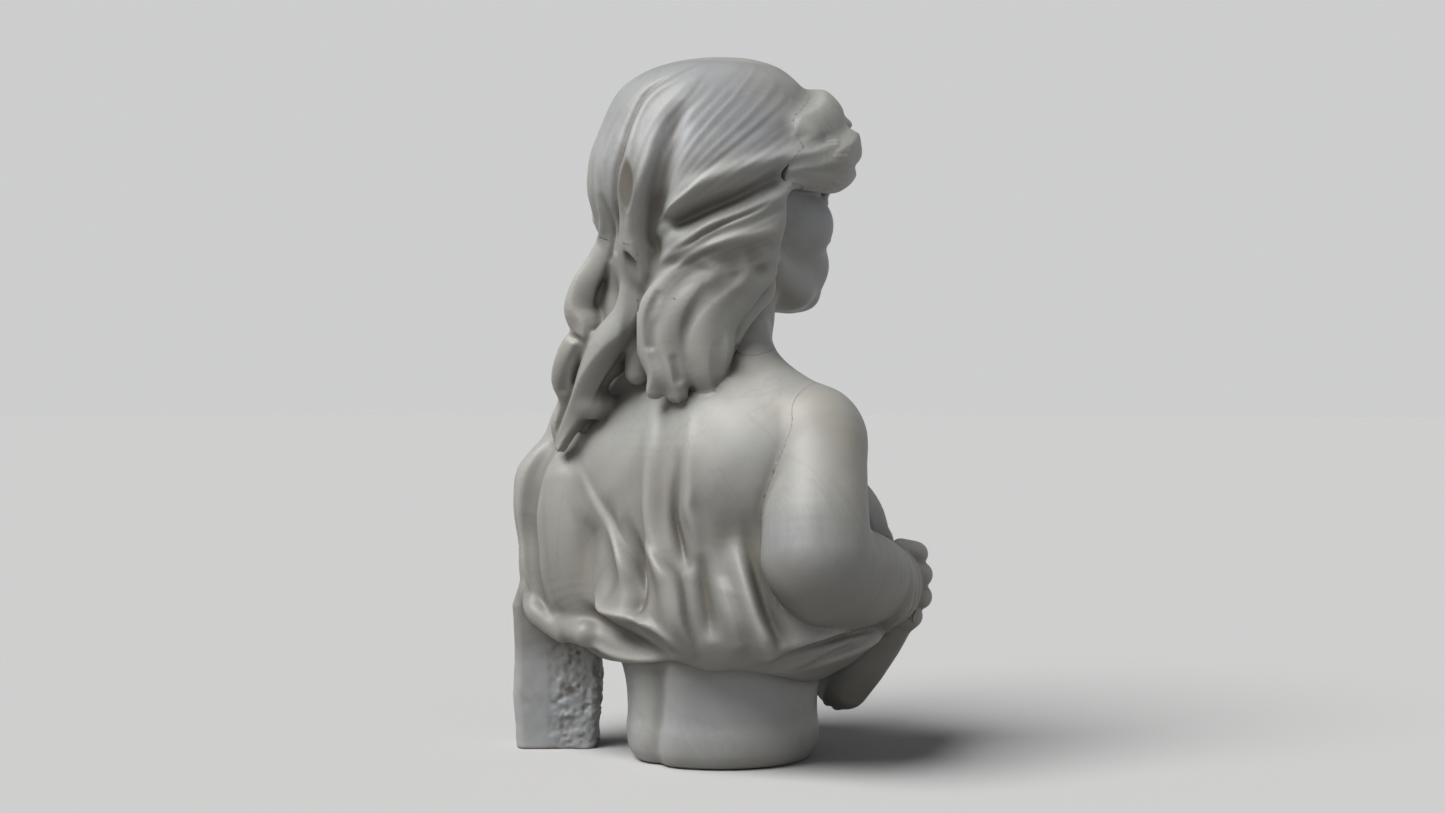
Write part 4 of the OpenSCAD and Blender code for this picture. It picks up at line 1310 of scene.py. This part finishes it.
def marble_material(name):
    """Weathered grey-white marble: cloudy tone, faint veins, warm dirt and painted shade in the hollows,
    painted shade on surfaces that face down and on the lower drapery, lighter crests, and a fine honed grain."""
    material, nodes, links, surface = shader(name)
    coordinates = nodes.new("ShaderNodeTexCoord").outputs["Object"]
    cavity = nodes.new("ShaderNodeAttribute")
    cavity.attribute_name = "cavity"
    cavity = cavity.outputs["Fac"]

    clouds = noise(nodes, links, coordinates, 7.0, 5.0, 0.6, 0.6)
    patches = noise(nodes, links, coordinates, 2.6, 3.0, 0.5, 0.3)
    grain = noise(nodes, links, coordinates, 420.0, 3.0, 0.6)
    colour = blend_colour(nodes, links, spread(nodes, links, clouds, 0.35, 0.68),
                          STONE_DARK, STONE_LIGHT)
    colour = blend_colour(nodes, links, spread(nodes, links, patches, 0.50, 0.64, 0.0, 0.75),
                          colour, STONE_WARM)
    colour = blend_colour(nodes, links, spread(nodes, links, patches, 0.46, 0.34, 0.0, 0.6),
                          colour, STONE_COOL)

    vein_field = noise(nodes, links, coordinates, 5.5, 6.0, 0.62, 1.4)
    vein = combine(nodes, links, "ABSOLUTE", combine(nodes, links, "SUBTRACT", vein_field, 0.5), 0.0)
    colour = blend_colour(nodes, links, spread(nodes, links, vein, 0.0, 0.022, 0.22, 0.0),
                          colour, VEIN)

    # Dirt and painted shade in the hollows: the deeper the hollow, the darker and warmer.
    hollow = spread(nodes, links, cavity, 0.1, -1.5, 0.0, 0.92)
    hollow_dirt_and_shade_share = combine(nodes, links, "MULTIPLY", hollow, spread(nodes, links, clouds, 0.3, 0.6, 0.6, 1.0))
    colour = blend_colour(nodes, links, hollow_dirt_and_shade_share, colour, HOLLOW_DIRT_AND_SHADE)
    # Painted shade on surfaces that face down.
    normal = nodes.new("ShaderNodeSeparateXYZ")
    links.new(nodes.new("ShaderNodeNewGeometry").outputs["Normal"], normal.inputs[0])
    underside_shade = spread(nodes, links, normal.outputs["Z"], 0.25, -0.75, 0.0, 0.62)
    # Painted shade on the lower drapery: full from just above the hem up to 170 mm, fading out by 300 mm, and
    # none on the socle.
    height = nodes.new("ShaderNodeSeparateXYZ")
    links.new(coordinates, height.inputs[0])
    lower_drape_shade = combine(nodes, links, "MULTIPLY", spread(nodes, links, height.outputs["Z"], 0.30, 0.17, 0.0, 0.50),
                   spread(nodes, links, height.outputs["Z"], 0.082, 0.102, 0.0, 1.0))
    for share in (underside_shade, lower_drape_shade):
        colour = blend_colour(nodes, links, share, colour, PAINTED_SHADE)
    crest = spread(nodes, links, cavity, 0.35, 1.8, 0.0, 0.35)
    colour = blend_colour(nodes, links, crest, colour, CREST)
    links.new(colour, surface.inputs["Base Color"])

    roughness = spread(nodes, links, clouds, 0.3, 0.7, 0.42, 0.58)
    links.new(roughness, surface.inputs["Roughness"])
    surface.inputs["Specular IOR Level"].default_value = 0.42
    surface.inputs["Subsurface Weight"].default_value = 0.06
    surface.inputs["Subsurface Radius"].default_value = (0.004, 0.0035, 0.003)

    pores = noise(nodes, links, coordinates, 130.0, 4.0, 0.65)
    relief = combine(nodes, links, "ADD", combine(nodes, links, "MULTIPLY", grain, 0.25),
                     combine(nodes, links, "MULTIPLY", pores, 0.5))
    add_bump(nodes, links, relief, 0.22, 0.0012, surface)
    return material


def bronze_material():
    """Dull, tarnished bronze for the dowels inside the joints."""
    material, nodes, links, surface = shader("dowel_bronze")
    coordinates = nodes.new("ShaderNodeTexCoord").outputs["Object"]
    tarnish = noise(nodes, links, coordinates, 60.0, 5.0, 0.6)
    colour = blend_colour(nodes, links, spread(nodes, links, tarnish, 0.4, 0.65), BRONZE, VERDIGRIS)
    links.new(colour, surface.inputs["Base Color"])
    links.new(spread(nodes, links, tarnish, 0.3, 0.7, 0.35, 0.7), surface.inputs["Roughness"])
    surface.inputs["Metallic"].default_value = 0.85
    add_bump(nodes, links, tarnish, 0.2, 0.0005, surface)
    return material


# ---- The pieces -----------------------------------------------------------

# Sample spacing of each carved piece, in millimetres
FINENESS = {
    "waist_socle": 1.8, "torso": 1.8, "head": 1.2, "hair_cap": 1.5, "front_roll": 1.3, "left_tress": 1.3,
    "outer_tress": 1.3, "nape_tress": 1.3, "right_upper_arm": 1.6, "right_forearm": 1.5, "right_hand": 1.1,
    "drapery_fall": 1.4, "left_sleeve": 1.6, "left_forearm": 1.6, "side_strut": 1.3}


def make_pieces():
    marble = marble_material("marble_honed")
    for name, step in FINENESS.items():
        piece = mesh_piece(name, step * (1.0))
        piece.data.materials.append(marble)
        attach(piece, "root")
        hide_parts(name)
    bronze = bronze_material()
    for name in DOWELS:
        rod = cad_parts[name]
        for slot in rod.material_slots:
            slot.material = bronze


make_pieces()

# ---- Floor and light ------------------------------------------------------

FLOOR_HALF = 60.0          # metres
FLOOR_COLOUR = (0.413, 0.413, 0.417)
KEY_POWER = 5.1
KEY_ANGLE = math.radians(42)      # how broad the light is
KEY_TURN = math.radians(-10)      # from straight behind the figure
KEY_HEIGHT = math.radians(56)
KEY_COLOUR = (1.0, 0.99, 0.97)
HORIZON = (0.610, 0.612, 0.615)
CEILING = (0.080, 0.083, 0.090)


def add_floor():
    """A plain pale floor that runs to the horizon."""
    mesh = bpy.data.meshes.new("stage_floor")
    half = FLOOR_HALF
    corners = [(-half, -half, 0), (half, -half, 0), (half, half, 0), (-half, half, 0)]
    mesh.from_pydata(corners, [], [(0, 1, 2, 3)])
    floor = bpy.data.objects.new("stage_floor", mesh)
    bpy.context.scene.collection.objects.link(floor)
    material, _, _, surface = shader("stage_pale")
    surface.inputs["Base Color"].default_value = (*FLOOR_COLOUR, 1.0)
    surface.inputs["Roughness"].default_value = 0.95
    surface.inputs["Specular IOR Level"].default_value = 0.0
    mesh.materials.append(material)


def add_key():
    """A broad soft light from above, to the left of the photograph's view."""
    data = bpy.data.lights.new("key", "SUN")
    data.energy = KEY_POWER
    data.angle = KEY_ANGLE
    data.color = KEY_COLOUR
    light = bpy.data.objects.new("key", data)
    level = math.cos(KEY_HEIGHT)
    towards = Vector((-math.sin(KEY_TURN) * level, math.cos(KEY_TURN) * level, math.sin(KEY_HEIGHT)))
    light.rotation_euler = towards.to_track_quat("Z", "Y").to_euler()
    bpy.context.scene.collection.objects.link(light)


def add_sky():
    """A pale studio wall all round, and a dimmer ceiling."""
    world = bpy.data.worlds.new("studio")
    world.use_nodes = True
    nodes, links = world.node_tree.nodes, world.node_tree.links
    direction = nodes.new("ShaderNodeTexCoord").outputs["Generated"]
    split = nodes.new("ShaderNodeSeparateXYZ")
    links.new(direction, split.inputs[0])
    up = spread(nodes, links, split.outputs["Z"], 0.22, 0.60)
    links.new(blend_colour(nodes, links, up, HORIZON, CEILING), nodes["Background"].inputs["Color"])
    bpy.context.scene.world = world


add_floor()
add_key()
add_sky()
bpy.context.scene.view_settings.view_transform = "Standard"
